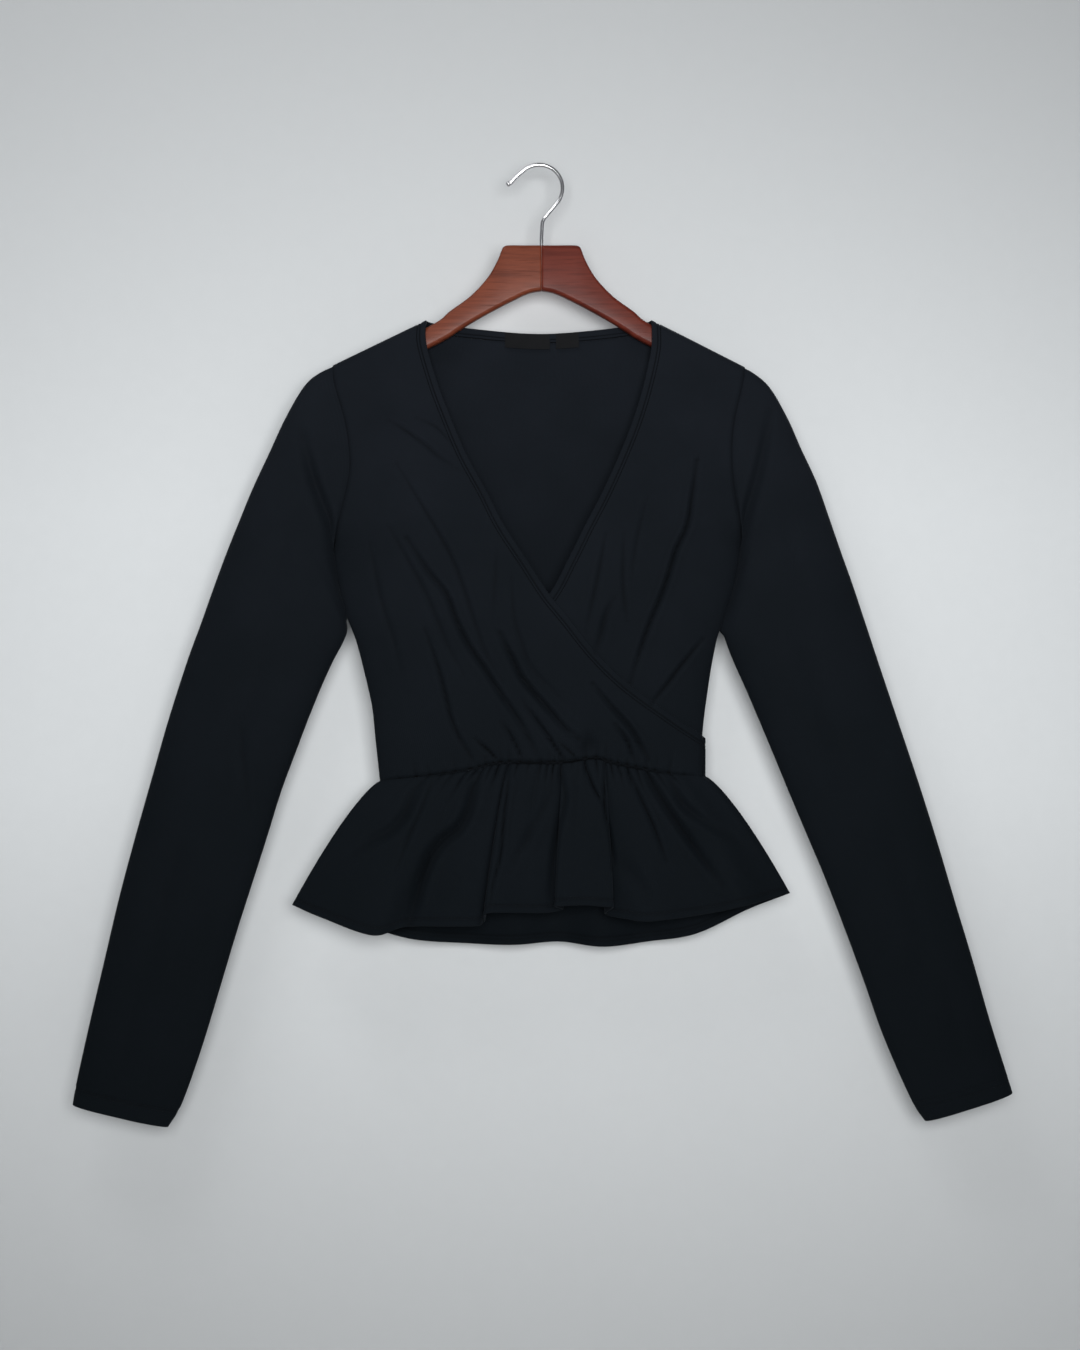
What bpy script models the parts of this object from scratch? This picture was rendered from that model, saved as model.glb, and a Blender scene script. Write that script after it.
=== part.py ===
"""A black long-sleeved crop top with a wrapped front and a gathered peplum, hung on a wooden hanger.

The origin is the underside of the hook's top, where a rod or a peg carries it. +Z is up, the front of the
garment faces -Y, and +X is to the viewer's right. Every length in this file is in millimetres, measured
from a line HOOK_TOP_X to the left of the origin, and to_metres moves and scales it. Left and right are the
viewer's, facing the front.
"""
import math

import bmesh
import bpy
import numpy as np

METRES_PER_MM = 0.001
HOOK_TOP_X = 2.3           # where the hook's top is in the tables, and x is 0 in the finished part

# Cloth and construction
WALL = 1.0                 # thickness of a panel
BAND_WALL = 1.8            # thickness of the turned neckline edge
BAND_WIDTH = 8.0           # width of the turned neckline edge
SEAM_GAP = 0.3             # between pieces that are sewn together
LAYER_STEP = 4.0           # from the middle of the under front to the middle of the over front
LAYER_START_X = -115.0     # the over front leaves the rounded form here
LAYER_RUN = 150.0          # and is a whole step outside it this much further right
HIDDEN_DROP = 2.0          # how much deeper the under front lies where the over front hides it
HIDDEN_START = 2.0         # the drop starts this far below the over front's neckline
HIDDEN_RUN = 25.0          # and is whole this much further down
UNDERARM_GAP = 1.6         # between the middles of a sleeve and its panels where both fold down
RIDGE_RADIUS = 7.0         # how far below the shoulder line the cloth is bent over the hanger
RIDGE_BLEND = 40.0         # how far below it a neckline's inner edge keeps level with its outer edge
SEAM_CALM = 9.0            # folds die out where the cloth is nearer than this to the hanger's plane
UNDERLAP_INSET = 14.0      # how far short of the left side seam the hidden under front stops
CENTRE_X = 2.0             # the middle of the garment

# Rows and columns of the panels
ARM_STEPS = 12             # along an armhole, and across each half of a sleeve
SIDE_STEPS = 11            # along a side seam
FRONT_COLUMNS = 18
SHOULDER_COLUMNS = 3       # of the back, along each shoulder
BACK_NECK_COLUMNS = 10     # of the back, along its neckline
BAND_COLUMNS = 1
CURVE_STEPS = 20           # points between two rows of a table that is read as a smooth curve
CORNER_STEPS = 3           # along a rounded corner of the hanger
ARC_POINTS = 7             # along the hook's arc
SLEEVE_RINGS = 18
PEPLUM_FRONT_COLUMNS = 76
PEPLUM_BACK_COLUMNS = 50
PEPLUM_ROWS = (0.0, 0.07, 0.18, 0.36, 0.65, 1.0)

# Shoulder line: x, z
SHOULDER_LINE = ((-177.0, -173.0), (-96.0, -134.0), (CENTRE_X, -88.0), (99.5, -133.5), (181.0, -174.5))

# Armhole seam, from the shoulder point to the underarm point: x, z
ARMHOLE_LEFT = ((-177.0, -173.0), (-175.3, -189.0), (-166.2, -221.0), (-162.3, -245.0), (-162.3, -269.0),
                (-171.8, -312.0), (-176.6, -337.0))
ARMHOLE_RIGHT = ((181.0, -174.5), (178.8, -189.0), (171.0, -224.0), (169.2, -253.0), (171.8, -285.0),
                 (177.0, -314.0), (177.0, -332.0))

# Side seam, from the underarm point to the waist seam: x, z
SIDE_LEFT = ((-176.6, -337.0), (-174.8, -352.0), (-171.0, -372.0), (-164.0, -393.0), (-157.0, -411.0),
             (-152.0, -429.0), (-143.0, -468.0), (-139.5, -501.0), (-136.0, -534.0))
SIDE_RIGHT = ((177.0, -332.0), (175.0, -350.0), (170.5, -371.0), (163.0, -392.0), (156.5, -411.0),
              (151.5, -436.0), (146.0, -474.0), (143.5, -500.0), (143.0, -530.0))

# Necklines: x, z. The two fronts cross at (11, -372), and both run on to the far side.
NECK_OVER = ((-95.5, -133.8), (-95.3, -155.0), (-85.7, -189.0), (-74.4, -219.0), (-60.5, -251.5),
             (-43.9, -282.0), (-28.3, -312.5), (-8.3, -343.0), (10.9, -372.5), (27.4, -392.5),
             (51.8, -423.0), (78.7, -449.0), (113.5, -474.5), (146.0, -496.5))
NECK_UNDER = ((99.5, -133.5), (99.4, -158.5), (93.1, -189.0), (83.5, -221.0), (70.9, -253.0),
              (56.1, -285.5), (41.3, -314.0), (27.4, -342.0), (10.9, -372.5), (-14.0, -400.0),
              (-42.0, -427.0), (-74.0, -452.0), (-108.0, -475.0), (-142.0, -496.0))
NECK_BACK = ((-95.5, -133.8), (-54.0, -139.5), (4.0, -143.8), (61.0, -139.5), (99.5, -133.5))

# Waist seam: x, z
WAIST_FRONT = ((-136.0, -534.0), (-92.0, -529.0), (-55.0, -523.0), (-31.0, -517.5), (20.0, -517.0),
               (50.0, -513.0), (64.0, -517.0), (93.0, -523.0), (120.0, -528.0), (143.0, -530.0))
WAIST_BACK = ((-136.0, -534.0), (-70.0, -533.0), (4.0, -531.0), (78.0, -532.0), (143.0, -530.0))

# How far the bodice stands out from the plane of the hanger: z, front, back
DEPTHS = ((-130.0, 9.5, 9.5), (-185.0, 11.0, 10.2), (-240.0, 16.0, 12.0), (-310.0, 23.0, 14.5),
          (-390.0, 25.0, 15.0), (-460.0, 20.0, 13.0), (-536.0, 15.0, 11.5))
SIDE_ROUNDING = 2.5        # 2 is an ellipse across the bodice, and more is flatter
ARMHOLE_SPREAD = 72.0      # how much wider the form is at the shoulder than at the underarm

# Folds of the fronts, pressed inwards: depth, half width, then x, z along the fold
FRONT_FOLDS = (
    (4.5, 8.0, ((-118.8, -326.0), (-81.3, -371.5), (-61.3, -413.0), (-40.5, -445.0), (-10.0, -491.0),
                (-1.3, -510.0))),
    (2.5, 7.0, ((-104.0, -296.0), (-85.7, -327.0), (-65.7, -371.5), (-49.2, -413.0), (-37.0, -437.5))),
    (4.5, 8.0, ((-24.0, -417.0), (-14.4, -442.0), (10.9, -470.5), (31.0, -491.5), (46.0, -507.0))),
    (2.5, 9.0, ((-85.7, -431.5), (-75.3, -474.0), (-57.0, -513.0))),
    (1.6, 8.0, ((-137.0, -382.0), (-118.8, -433.0))),
    (2.2, 7.0, ((-38.7, -486.0), (-11.7, -511.5))),
    (3.0, 8.0, ((51.8, -454.0), (78.7, -484.5), (94.4, -517.5))),
    (1.6, 9.0, ((-124.0, -225.0), (-98.7, -243.5), (-70.0, -264.5))),
    (2.0, 9.0, ((-118.0, -266.0), (-98.7, -295.0), (-78.0, -329.0))),
    (4.0, 8.0, ((131.8, -294.0), (115.3, -339.5), (98.7, -388.0), (82.2, -443.5))),
    (2.5, 7.0, ((57.9, -330.5), (51.0, -368.0), (43.1, -404.5))),
    (2.5, 8.0, ((144.0, -413.0), (123.0, -437.5), (101.5, -463.5))),
    (1.4, 8.0, ((96.0, -219.0), (122.0, -204.5))),
)
# Folds of the back, pressed inwards, in the same columns
BACK_FOLDS = (
    (3.2, 10.0, ((-128.0, -330.0), (-96.0, -398.0), (-78.0, -462.0), (-70.0, -520.0))),
    (3.2, 10.0, ((130.0, -326.0), (102.0, -392.0), (84.0, -455.0), (76.0, -520.0))),
    (2.0, 11.0, ((-30.0, -400.0), (-22.0, -462.0), (-24.0, -522.0))),
    (2.0, 11.0, ((34.0, -388.0), (30.0, -450.0), (34.0, -522.0))),
)
# Folds of the sleeves' fronts, in the same columns
SLEEVE_FOLDS = (
    (2.5, 7.0, ((-197.0, -253.0), (-190.0, -278.0), (-180.0, -312.0))),
    (2.5, 7.0, ((203.0, -213.0), (192.0, -261.0), (184.0, -301.0), (180.0, -322.0))),
    (2.0, 10.0, ((-226.0, -392.0), (-246.0, -460.0), (-270.0, -540.0))),
    (2.0, 10.0, ((222.0, -388.0), (242.0, -450.0), (268.0, -540.0))),
    (1.6, 9.0, ((-300.0, -560.0), (-322.0, -640.0), (-338.0, -720.0))),
    (1.6, 9.0, ((300.0, -560.0), (322.0, -640.0), (342.0, -720.0))),
)

# Sleeves, a row for each station from the armhole to the cuff: outer x, outer z, inner x, inner z, front, back
SLEEVE_LEFT = (
    (-177.0, -173.0, -176.6, -337.0, 14.0, 12.0), (-199.0, -188.0, -177.8, -348.0, 15.0, 12.0),
    (-217.0, -217.0, -175.6, -368.0, 16.0, 12.5), (-232.0, -249.0, -171.0, -387.0, 16.5, 12.5),
    (-246.0, -279.0, -167.0, -401.0, 17.0, 13.0), (-258.0, -308.0, -169.5, -413.0, 17.0, 13.0),
    (-270.0, -338.0, -177.5, -430.0, 16.5, 13.0), (-281.0, -368.0, -187.0, -452.0, 16.0, 12.5),
    (-292.0, -399.0, -198.8, -481.0, 15.5, 12.0), (-303.0, -429.0, -209.0, -508.0, 15.0, 12.0),
    (-319.7, -481.0, -222.0, -543.0, 14.5, 11.5), (-334.5, -533.0, -233.5, -580.0, 14.0, 11.0),
    (-349.3, -585.5, -244.8, -615.6, 13.5, 11.0), (-363.2, -638.0, -260.0, -663.0, 12.5, 10.5),
    (-375.4, -690.0, -275.0, -713.0, 11.5, 10.0), (-387.6, -742.0, -290.5, -764.0, 10.5, 9.0),
    (-399.2, -794.0, -308.0, -813.5, 9.5, 8.5), (-403.2, -816.1, -320.6, -835.2, 9.5, 8.5))
SLEEVE_RIGHT = (
    (181.0, -174.5, 177.0, -332.0, 14.0, 12.0), (201.0, -190.5, 177.8, -347.0, 15.0, 12.0),
    (217.5, -218.0, 176.0, -366.0, 16.0, 12.5), (230.0, -246.0, 171.0, -386.0, 16.5, 12.5),
    (243.0, -274.0, 165.6, -402.0, 17.0, 13.0), (254.0, -305.0, 166.4, -414.0, 17.0, 13.0),
    (264.0, -334.0, 172.0, -431.0, 16.5, 13.0), (274.0, -362.0, 181.5, -453.0, 16.0, 12.5),
    (284.0, -392.0, 193.0, -480.0, 15.5, 12.0), (296.2, -429.0, 206.0, -511.0, 15.0, 12.0),
    (313.6, -481.0, 220.0, -545.0, 14.5, 11.5), (331.0, -533.0, 236.0, -583.0, 14.0, 11.0),
    (347.6, -585.5, 249.5, -615.0, 13.5, 11.0), (363.2, -638.0, 267.0, -660.0, 12.5, 10.5),
    (378.9, -690.0, 285.0, -709.0, 11.5, 10.0), (393.7, -742.0, 302.0, -757.0, 10.5, 9.0),
    (408.5, -789.0, 325.8, -811.0, 9.5, 8.5), (413.7, -806.0, 338.0, -830.0, 9.5, 8.5))
FOLD_START = 0.5           # how far down the armhole the sleeve starts to fold down beside the bodice
SLEEVE_BLEND_STATIONS = 3  # how many stations the armhole's bend takes to die out

# Peplum, a row for each ridge or valley: x at the waist, then x, y, z at the hem
PEPLUM_FRONT = (
    (-136.0, -212.7, 0.0, -642.0), (-105.0, -186.0, -13.0, -651.5), (-80.0, -141.0, -25.0, -665.5),
    (-54.0, -114.0, -15.0, -659.5), (-38.0, -76.0, -22.0, -658.0), (-24.0, -50.0, -13.0, -657.0),
    (-18.0, -41.5, -25.0, -646.0), (3.0, -14.0, -20.0, -646.5), (21.0, 9.0, -12.0, -647.0),
    (27.0, 17.0, -27.0, -640.0), (43.0, 40.0, -29.0, -639.5), (58.0, 64.0, -27.0, -641.0),
    (64.0, 70.0, -12.0, -650.0), (86.0, 99.0, -22.0, -653.0), (103.0, 148.0, -15.0, -648.0),
    (117.0, 180.0, -20.0, -640.5), (129.0, 203.0, -8.0, -635.5), (147.0, 220.5, 0.0, -631.6))
PEPLUM_BACK = (
    (-136.0, -212.7, 0.0, -642.0), (-114.0, -190.0, 12.0, -651.0), (-90.0, -146.0, 25.0, -665.0),
    (-62.0, -108.0, 13.0, -673.5), (-36.0, -62.0, 26.0, -678.5), (-12.0, -20.0, 14.0, -678.5),
    (14.0, 20.0, 25.0, -677.0), (40.0, 58.0, 13.0, -680.0), (66.0, 98.0, 26.0, -677.0),
    (92.0, 140.0, 13.0, -668.5), (116.0, 186.0, 21.0, -648.0), (143.0, 220.5, 0.0, -631.6))
FLARE_POWER = 0.77         # under 1, the peplum spreads most just below the waist
GATHER_PITCH = 13.0        # from one small gather to the next along the waist seam
GATHER_DEPTH = 1.3
GATHER_FADE = 6.0          # the gathers are deepest at 1 / 6 of the peplum's length and then die out

# Hanger
HANGER_X = 4.4             # its centre, under the hook's stem
HANGER_THICKNESS = 11.0
HANGER_EDGE = 3.5          # rounding of its edges
HANGER_TOP = -68.7
# An arm, a row for each station from the centre to the tip: distance from the centre and z, upper then lower
HANGER_ARM = (
    (0.0, HANGER_TOP, 0.0, -108.0), (15.0, HANGER_TOP, 9.0, -109.5), (29.0, HANGER_TOP, 17.0, -112.5),
    (33.2, -70.2, 22.0, -115.0), (35.0, -73.5, 25.0, -116.4), (38.7, -82.7, 31.0, -119.4),
    (47.4, -97.4, 42.0, -125.2), (62.2, -113.1, 56.5, -133.2), (79.6, -125.8, 72.5, -143.0),
    (93.0, -136.4, 86.0, -151.6), (137.0, -158.2, 129.0, -173.4), (171.0, -175.2, 164.5, -190.4),
    (177.0, -179.0, 172.5, -192.5), (180.0, -183.5, 178.2, -189.4))

# Hook: the wire's radius, the arc that the rod bears on, and the way down to the stem
WIRE_RADIUS = 1.85
HOOK_RADIUS = 20.3
HOOK_TIP = ((-24.4, -14.7), (-21.8, -13.3), (-17.9, -9.0))
HOOK_ARC = (134.0, -36.0)  # degrees from +X, where the arc starts and ends
HOOK_STEM = ((14.2, -35.9), (9.6, -41.4), (6.4, -45.4), (5.1, -49.4), (4.7, -55.0), (HANGER_X, -62.0))
HOOK_SEGMENT = 3.0         # length of a straight piece of the bent wire

# Labels in the back neck: node, x of the middle, width, height
LABELS = (("label_main", -8.0, 39.0, 13.0), ("label_size", 27.0, 20.0, 13.0))
LABEL_WALL = 1.0
LABEL_STAND_OFF = 1.9      # from the middle of the back panel to the middle of a label
LABEL_TOP = 0.6            # below the edge of the neck

CLOTH_COLOUR = (0.011, 0.013, 0.017, 1.0)
LABEL_COLOUR = (0.006, 0.006, 0.008, 1.0)
WOOD_COLOUR = (0.17, 0.045, 0.028, 1.0)
CHROME_COLOUR = (0.62, 0.62, 0.64, 1.0)


def clear_scene():
    """Remove every object that the file started with."""
    for item in list(bpy.data.objects):
        bpy.data.objects.remove(item, do_unlink=True)


def make_material(name, colour, roughness, metallic=0.0):
    """A plain Principled material."""
    material = bpy.data.materials.new(name)
    material.use_nodes = True
    shader = material.node_tree.nodes["Principled BSDF"]
    shader.inputs["Base Color"].default_value = colour
    shader.inputs["Roughness"].default_value = roughness
    shader.inputs["Metallic"].default_value = metallic
    return material


def to_metres(points):
    """Points in millimetres, as the tables give them, in metres from the hook's top."""
    return ((np.asarray(points, float) - (HOOK_TOP_X, 0.0, 0.0)) * METRES_PER_MM).tolist()


def add_mesh(name, points, faces, material):
    """One smooth, closed object from points in millimetres."""
    mesh = bpy.data.meshes.new(name)
    mesh.from_pydata(to_metres(points), [], faces)
    work = bmesh.new()
    work.from_mesh(mesh)
    bmesh.ops.recalc_face_normals(work, faces=work.faces)
    work.to_mesh(mesh)
    work.free()
    mesh.materials.append(material)
    mesh.shade_smooth()
    mesh.set_sharp_from_angle(angle=math.radians(40))
    thing = bpy.data.objects.new(name, mesh)
    bpy.context.scene.collection.objects.link(thing)
    return thing


def fine_curve(points, steps=24):
    """A dense Catmull-Rom curve through the points."""
    points = np.asarray(points, float)
    ends = np.vstack((2 * points[0] - points[1], points, 2 * points[-1] - points[-2]))
    dense = []
    for i in range(1, len(ends) - 2):
        before, start, stop, after = ends[i - 1:i + 3]
        for t in np.arange(steps) / steps:
            dense.append(0.5 * (2 * start + (stop - before) * t
                                + (2 * before - 5 * start + 4 * stop - after) * t ** 2
                                + (3 * start - before - 3 * stop + after) * t ** 3))
    dense.append(points[-1])
    return np.array(dense)


def along(curve, fractions):
    """Points at these fractions of a dense curve's length."""
    lengths = np.concatenate(([0.0], np.cumsum(np.linalg.norm(np.diff(curve, axis=0), axis=1))))
    wanted = np.asarray(fractions) * lengths[-1]
    return np.column_stack([np.interp(wanted, lengths, curve[:, k]) for k in range(curve.shape[1])])


def curve_length(curve):
    return float(np.linalg.norm(np.diff(curve, axis=0), axis=1).sum())


def cosine_steps(count):
    """Fractions from 0 to 1 that crowd at both ends."""
    return 0.5 * (1.0 - np.cos(np.pi * np.arange(count + 1) / count))


def smoothstep(value):
    value = np.clip(value, 0.0, 1.0)
    return value * value * (3.0 - 2.0 * value)


def unit(vectors):
    return vectors / np.maximum(np.linalg.norm(vectors, axis=-1, keepdims=True), 1e-9)


def table_column(table, column, at):
    """Read a column of a table by linear steps, whichever way its first column runs."""
    rows = np.array(sorted(row[:1] + (row[column],) for row in table))
    return np.interp(at, rows[:, 0], rows[:, 1])


def ridge_height(x):
    return table_column(SHOULDER_LINE, 1, x)


def half_width(z, side_seam):
    """Half the width of the rounded form at height z: past the underarm it opens into the sleeve."""
    seam = np.array(sorted((point[1], abs(point[0] - CENTRE_X)) for point in side_seam))
    underarm_z = seam[-1, 0]
    rise = np.clip((z - underarm_z) / (SHOULDER_LINE[0][1] - underarm_z), 0.0, None)
    return np.interp(z, seam[:, 0], seam[:, 1]) + ARMHOLE_SPREAD * np.sqrt(rise)


def depth_squared(x, z, column):
    """Square of the distance from the hanger's plane to the bodice. It runs on below zero past a seam."""
    depth = table_column(DEPTHS, column, z)
    below = np.minimum((ridge_height(x) - z) / RIDGE_RADIUS, 1.0)
    ridge = 1.0 - (1.0 - below) ** 2
    width = np.where(x < CENTRE_X, half_width(z, SIDE_LEFT), half_width(z, SIDE_RIGHT))
    across = 1.0 - (np.abs(x - CENTRE_X) / width) ** SIDE_ROUNDING
    return depth ** 2 * ridge * across


def fold_depth(x, z, folds):
    """How far the folds press the cloth inwards at x, z. Each fold dies out at its ends."""
    total = np.zeros_like(x)
    spot = np.stack((x, z), axis=-1)
    for depth, reach, route in folds:
        line = along(fine_curve(route, 6), np.linspace(0.0, 1.0, 25))
        best = np.full(x.shape, np.inf)
        place = np.zeros_like(x)
        for k in range(len(line) - 1):
            step = line[k + 1] - line[k]
            t = np.clip(((spot - line[k]) @ step) / (step @ step), 0.0, 1.0)
            gap = np.linalg.norm(spot - (line[k] + t[..., None] * step), axis=-1)
            closer = gap < best
            best = np.where(closer, gap, best)
            place = np.where(closer, (k + t) / (len(line) - 1), place)
        total -= depth * np.sin(np.pi * np.clip(place, 0.04, 0.96)) ** 0.6 * np.exp(-(best / reach) ** 2)
    return total


def bodice(x, z, side, offset=0.0, folds=()):
    """Points and outward directions of the bodice. side is -1 for the front and 1 for the back."""
    column = 1 if side < 0 else 2
    square = depth_squared(x, z, column)
    step = 0.5
    slope_x = (depth_squared(x + step, z, column) - depth_squared(x - step, z, column)) / (2 * step)
    slope_z = (depth_squared(x, z + step, column) - depth_squared(x, z - step, column)) / (2 * step)
    depth = np.sqrt(np.maximum(square, 0.0))
    outward = unit(np.stack((-0.5 * slope_x, side * depth, -0.5 * slope_z), axis=-1))
    points = np.stack((x, side * np.maximum(depth, 0.5 * SEAM_GAP), z), axis=-1)
    pressed = fold_depth(x, z, folds) * smoothstep(depth / SEAM_CALM)
    points = points + outward * (np.asarray(offset) + pressed)[..., None]
    points[..., 1] = side * np.maximum(side * points[..., 1], 0.5 * SEAM_GAP)
    return points, outward


def over_offset(x):
    """The over front lies on the form at the left and a layer's step outside it at the right."""
    return LAYER_STEP * smoothstep((x - LAYER_START_X) / LAYER_RUN)


def under_offset(x, z):
    """The under front lies a layer's step inside the over front, and deeper where that hides it."""
    neckline = fine_curve(NECK_OVER)
    below = np.interp(x, neckline[:, 0], neckline[:, 1]) - z
    return over_offset(x) - LAYER_STEP - HIDDEN_DROP * smoothstep((below - HIDDEN_START) / HIDDEN_RUN)


def shell(name, points, outward, wall, material):
    """A closed wall around a grid of middle points."""
    rows, columns = points.shape[:2]
    outer = points + outward * wall / 2
    inner = points - outward * wall / 2
    count = rows * columns

    def at(i, j, layer):
        return layer * count + i * columns + j

    faces = []
    for i in range(rows - 1):
        for j in range(columns - 1):
            faces.append((at(i, j, 0), at(i, j + 1, 0), at(i + 1, j + 1, 0), at(i + 1, j, 0)))
            faces.append((at(i, j, 1), at(i + 1, j, 1), at(i + 1, j + 1, 1), at(i, j + 1, 1)))
    for i in (0, rows - 1):
        for j in range(columns - 1):
            faces.append((at(i, j, 0), at(i, j, 1), at(i, j + 1, 1), at(i, j + 1, 0)))
    for j in (0, columns - 1):
        for i in range(rows - 1):
            faces.append((at(i, j, 0), at(i + 1, j, 0), at(i + 1, j, 1), at(i, j, 1)))
    everything = np.vstack((outer.reshape(-1, 3), inner.reshape(-1, 3)))
    return add_mesh(name, everything, faces, material)


def grid_normals(points, outward_hint):
    """Directions square to a grid of points, turned to the side that outward_hint points to."""
    square = unit(np.cross(np.gradient(points, axis=1), np.gradient(points, axis=0)))
    wrong = (square * outward_hint).sum(-1) < 0
    square[wrong] *= -1
    return square


def flatten(outward, rows, columns, axis):
    """Take one axis out of the directions along a seam, so that both sides of it share an end wall."""
    outward[rows, columns, axis] = 0.0
    outward[rows, columns] = unit(outward[rows, columns])


def inset_curve(curve, distance, side_seam):
    """A neckline moved into its panel, from the shoulder line down to the side seam x that it ends at."""
    towards = 1.0 if side_seam[0][0] > 0 else -1.0
    end_x = curve[-1, 0]
    run_on = unit(curve[-1] - curve[-6])
    longer = np.vstack((curve, [curve[-1] + run_on * step for step in (4.0, 8.0, 12.0, 16.0)]))
    direction = unit(np.gradient(longer, axis=0))
    inwards = np.stack((direction[:, 1], -direction[:, 0]), axis=-1) * towards
    moved = longer + inwards * distance
    below = np.clip(ridge_height(longer[:, 0]) - longer[:, 1], 0.0, RIDGE_BLEND)
    level = longer[:, 1] + ridge_height(moved[:, 0]) - ridge_height(longer[:, 0])
    moved[:, 1] += (level - moved[:, 1]) * (1.0 - below / RIDGE_BLEND)
    past = np.nonzero(towards * (moved[:, 0] - end_x) > 0)[0]
    if len(past):
        k = past[0]
        t = (end_x - moved[k - 1, 0]) / (moved[k, 0] - moved[k - 1, 0])
        moved = np.vstack((moved[:k], moved[k - 1] + t * (moved[k] - moved[k - 1])))
    return moved


def patch(top, bottom, left, right, u, rows_left, rows_right):
    """A grid between four curves in x, z, with columns at the fractions u and rows at those of the sides."""
    left_points = along(left, rows_left)
    right_points = along(right, rows_right)
    v = (0.5 * (np.asarray(rows_left) + np.asarray(rows_right)))[:, None, None]
    across = u[None, :, None]
    top_points = along(top, u)[None]
    bottom_points = along(bottom, u)[None]
    ruled = (1 - across) * left_points[:, None] + across * right_points[:, None]
    lofted = (1 - v) * top_points + v * bottom_points
    corners = ((1 - across) * ((1 - v) * left_points[0] + v * left_points[-1])
               + across * ((1 - v) * right_points[0] + v * right_points[-1]))
    return ruled + lofted - corners


def side_rows(armhole, side_seam):
    """Fractions of the whole outer edge, armhole and side seam, at which the rows of a panel start."""
    arm = curve_length(fine_curve(armhole))
    seam = curve_length(fine_curve(side_seam))
    first = cosine_steps(ARM_STEPS) * arm
    second = arm + np.arange(1, SIDE_STEPS + 1) / SIDE_STEPS * seam
    return np.concatenate((first, second)) / (arm + seam)


def outer_edge(armhole, side_seam):
    return np.vstack((fine_curve(armhole), fine_curve(side_seam)[1:]))


def line_between(curve, x_from, x_to, count=60):
    """The stretch of a seam between two values of x, as a dense curve."""
    rows = np.array(sorted((point[0], point[1]) for point in fine_curve(curve)))
    x = np.linspace(x_from, x_to, count)
    return np.column_stack((x, np.interp(x, rows[:, 0], rows[:, 1])))


def seam_directions(outward, first_row_of_side):
    """Share the end walls of a bodice panel with its neighbours at the shoulder, side and waist seams."""
    flatten(outward, 0, slice(None), 1)
    flatten(outward, slice(first_row_of_side, None), 0, 1)
    flatten(outward, first_row_of_side - 1, 0, 1)
    flatten(outward, -1, slice(None), 2)


def front_panel(neck, armhole, side_seam, far_side):
    """The x, z grid of a front: its outer edge, neckline edge, shoulder line and waist seam."""
    edge = outer_edge(armhole, side_seam)
    rows = side_rows(armhole, side_seam)
    neckline = inset_curve(fine_curve(neck), BAND_WIDTH + SEAM_GAP, far_side)
    waist_x = neckline[-1, 0]
    waist = line_between(WAIST_FRONT, edge[-1, 0], waist_x)
    corner = curve_length(neckline) / (curve_length(neckline) + abs(neckline[-1, 1] - waist[-1, 1]))
    nearest = int(np.argmin(np.abs(rows - corner)))
    turned = rows.copy()
    turned[:nearest + 1] *= corner / rows[nearest]
    turned[nearest:] = corner + (rows[nearest:] - rows[nearest]) / (1 - rows[nearest]) * (1 - corner)
    inner = np.vstack((neckline, waist[-1]))
    top = line_between(SHOULDER_LINE, edge[0, 0], neckline[0, 0])
    columns = 0.5 * np.linspace(0.0, 1.0, FRONT_COLUMNS + 1) + 0.5 * cosine_steps(FRONT_COLUMNS)
    grid = patch(top, waist, edge, inner, columns, rows, turned)
    return grid, turned[:nearest + 1] / corner


def band_grid(neck, far_side, fractions):
    """The x, z grid of a turned neckline edge, whose rows match those of its panel."""
    columns = [along(inset_curve(fine_curve(neck), BAND_WIDTH * k / BAND_COLUMNS, far_side), fractions)
               for k in range(BAND_COLUMNS + 1)]
    return np.stack(columns, axis=1)


def make_fronts(cloth):
    """The two crossing fronts and their turned edges. Returns the middle of the over front's lower edge."""
    under_neck = list(NECK_UNDER)
    hidden_end = SIDE_LEFT[-1][0] + UNDERLAP_INSET
    under_neck[-1] = (hidden_end, under_neck[-1][1] + 6.0)
    sets = (("over", NECK_OVER, ARMHOLE_LEFT, SIDE_LEFT, SIDE_RIGHT, lambda x, z: over_offset(x)),
            ("under", under_neck, ARMHOLE_RIGHT, SIDE_RIGHT, SIDE_LEFT, under_offset))
    lower_edges = []
    for name, neck, armhole, near_side, far_side, offset in sets:
        grid, fractions = front_panel(neck, armhole, near_side, far_side)
        x, z = grid[..., 0], grid[..., 1]
        points, hint = bodice(x, z, -1, offset(x, z), FRONT_FOLDS)
        outward = grid_normals(points, hint)
        outward[:ARM_STEPS, 0] = hint[:ARM_STEPS, 0]
        seam_directions(outward, ARM_STEPS + 1)
        if name == "over":
            flatten(outward, slice(len(fractions) - 1, None), -1, 1)
        shell("front_" + name, points, outward, WALL, cloth)
        lower_edges.append((points[-1], outward[-1]))

        strip = band_grid(neck, far_side, fractions)
        x, z = strip[..., 0], strip[..., 1]
        points, outward = bodice(x, z, -1, offset(x, z), FRONT_FOLDS)
        flatten(outward, 0, slice(None), 1)
        if name == "over":
            flatten(outward, -1, slice(None), 1)
        shell("band_" + name, points, outward, BAND_WALL, cloth)
    return lower_edges[0]


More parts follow.
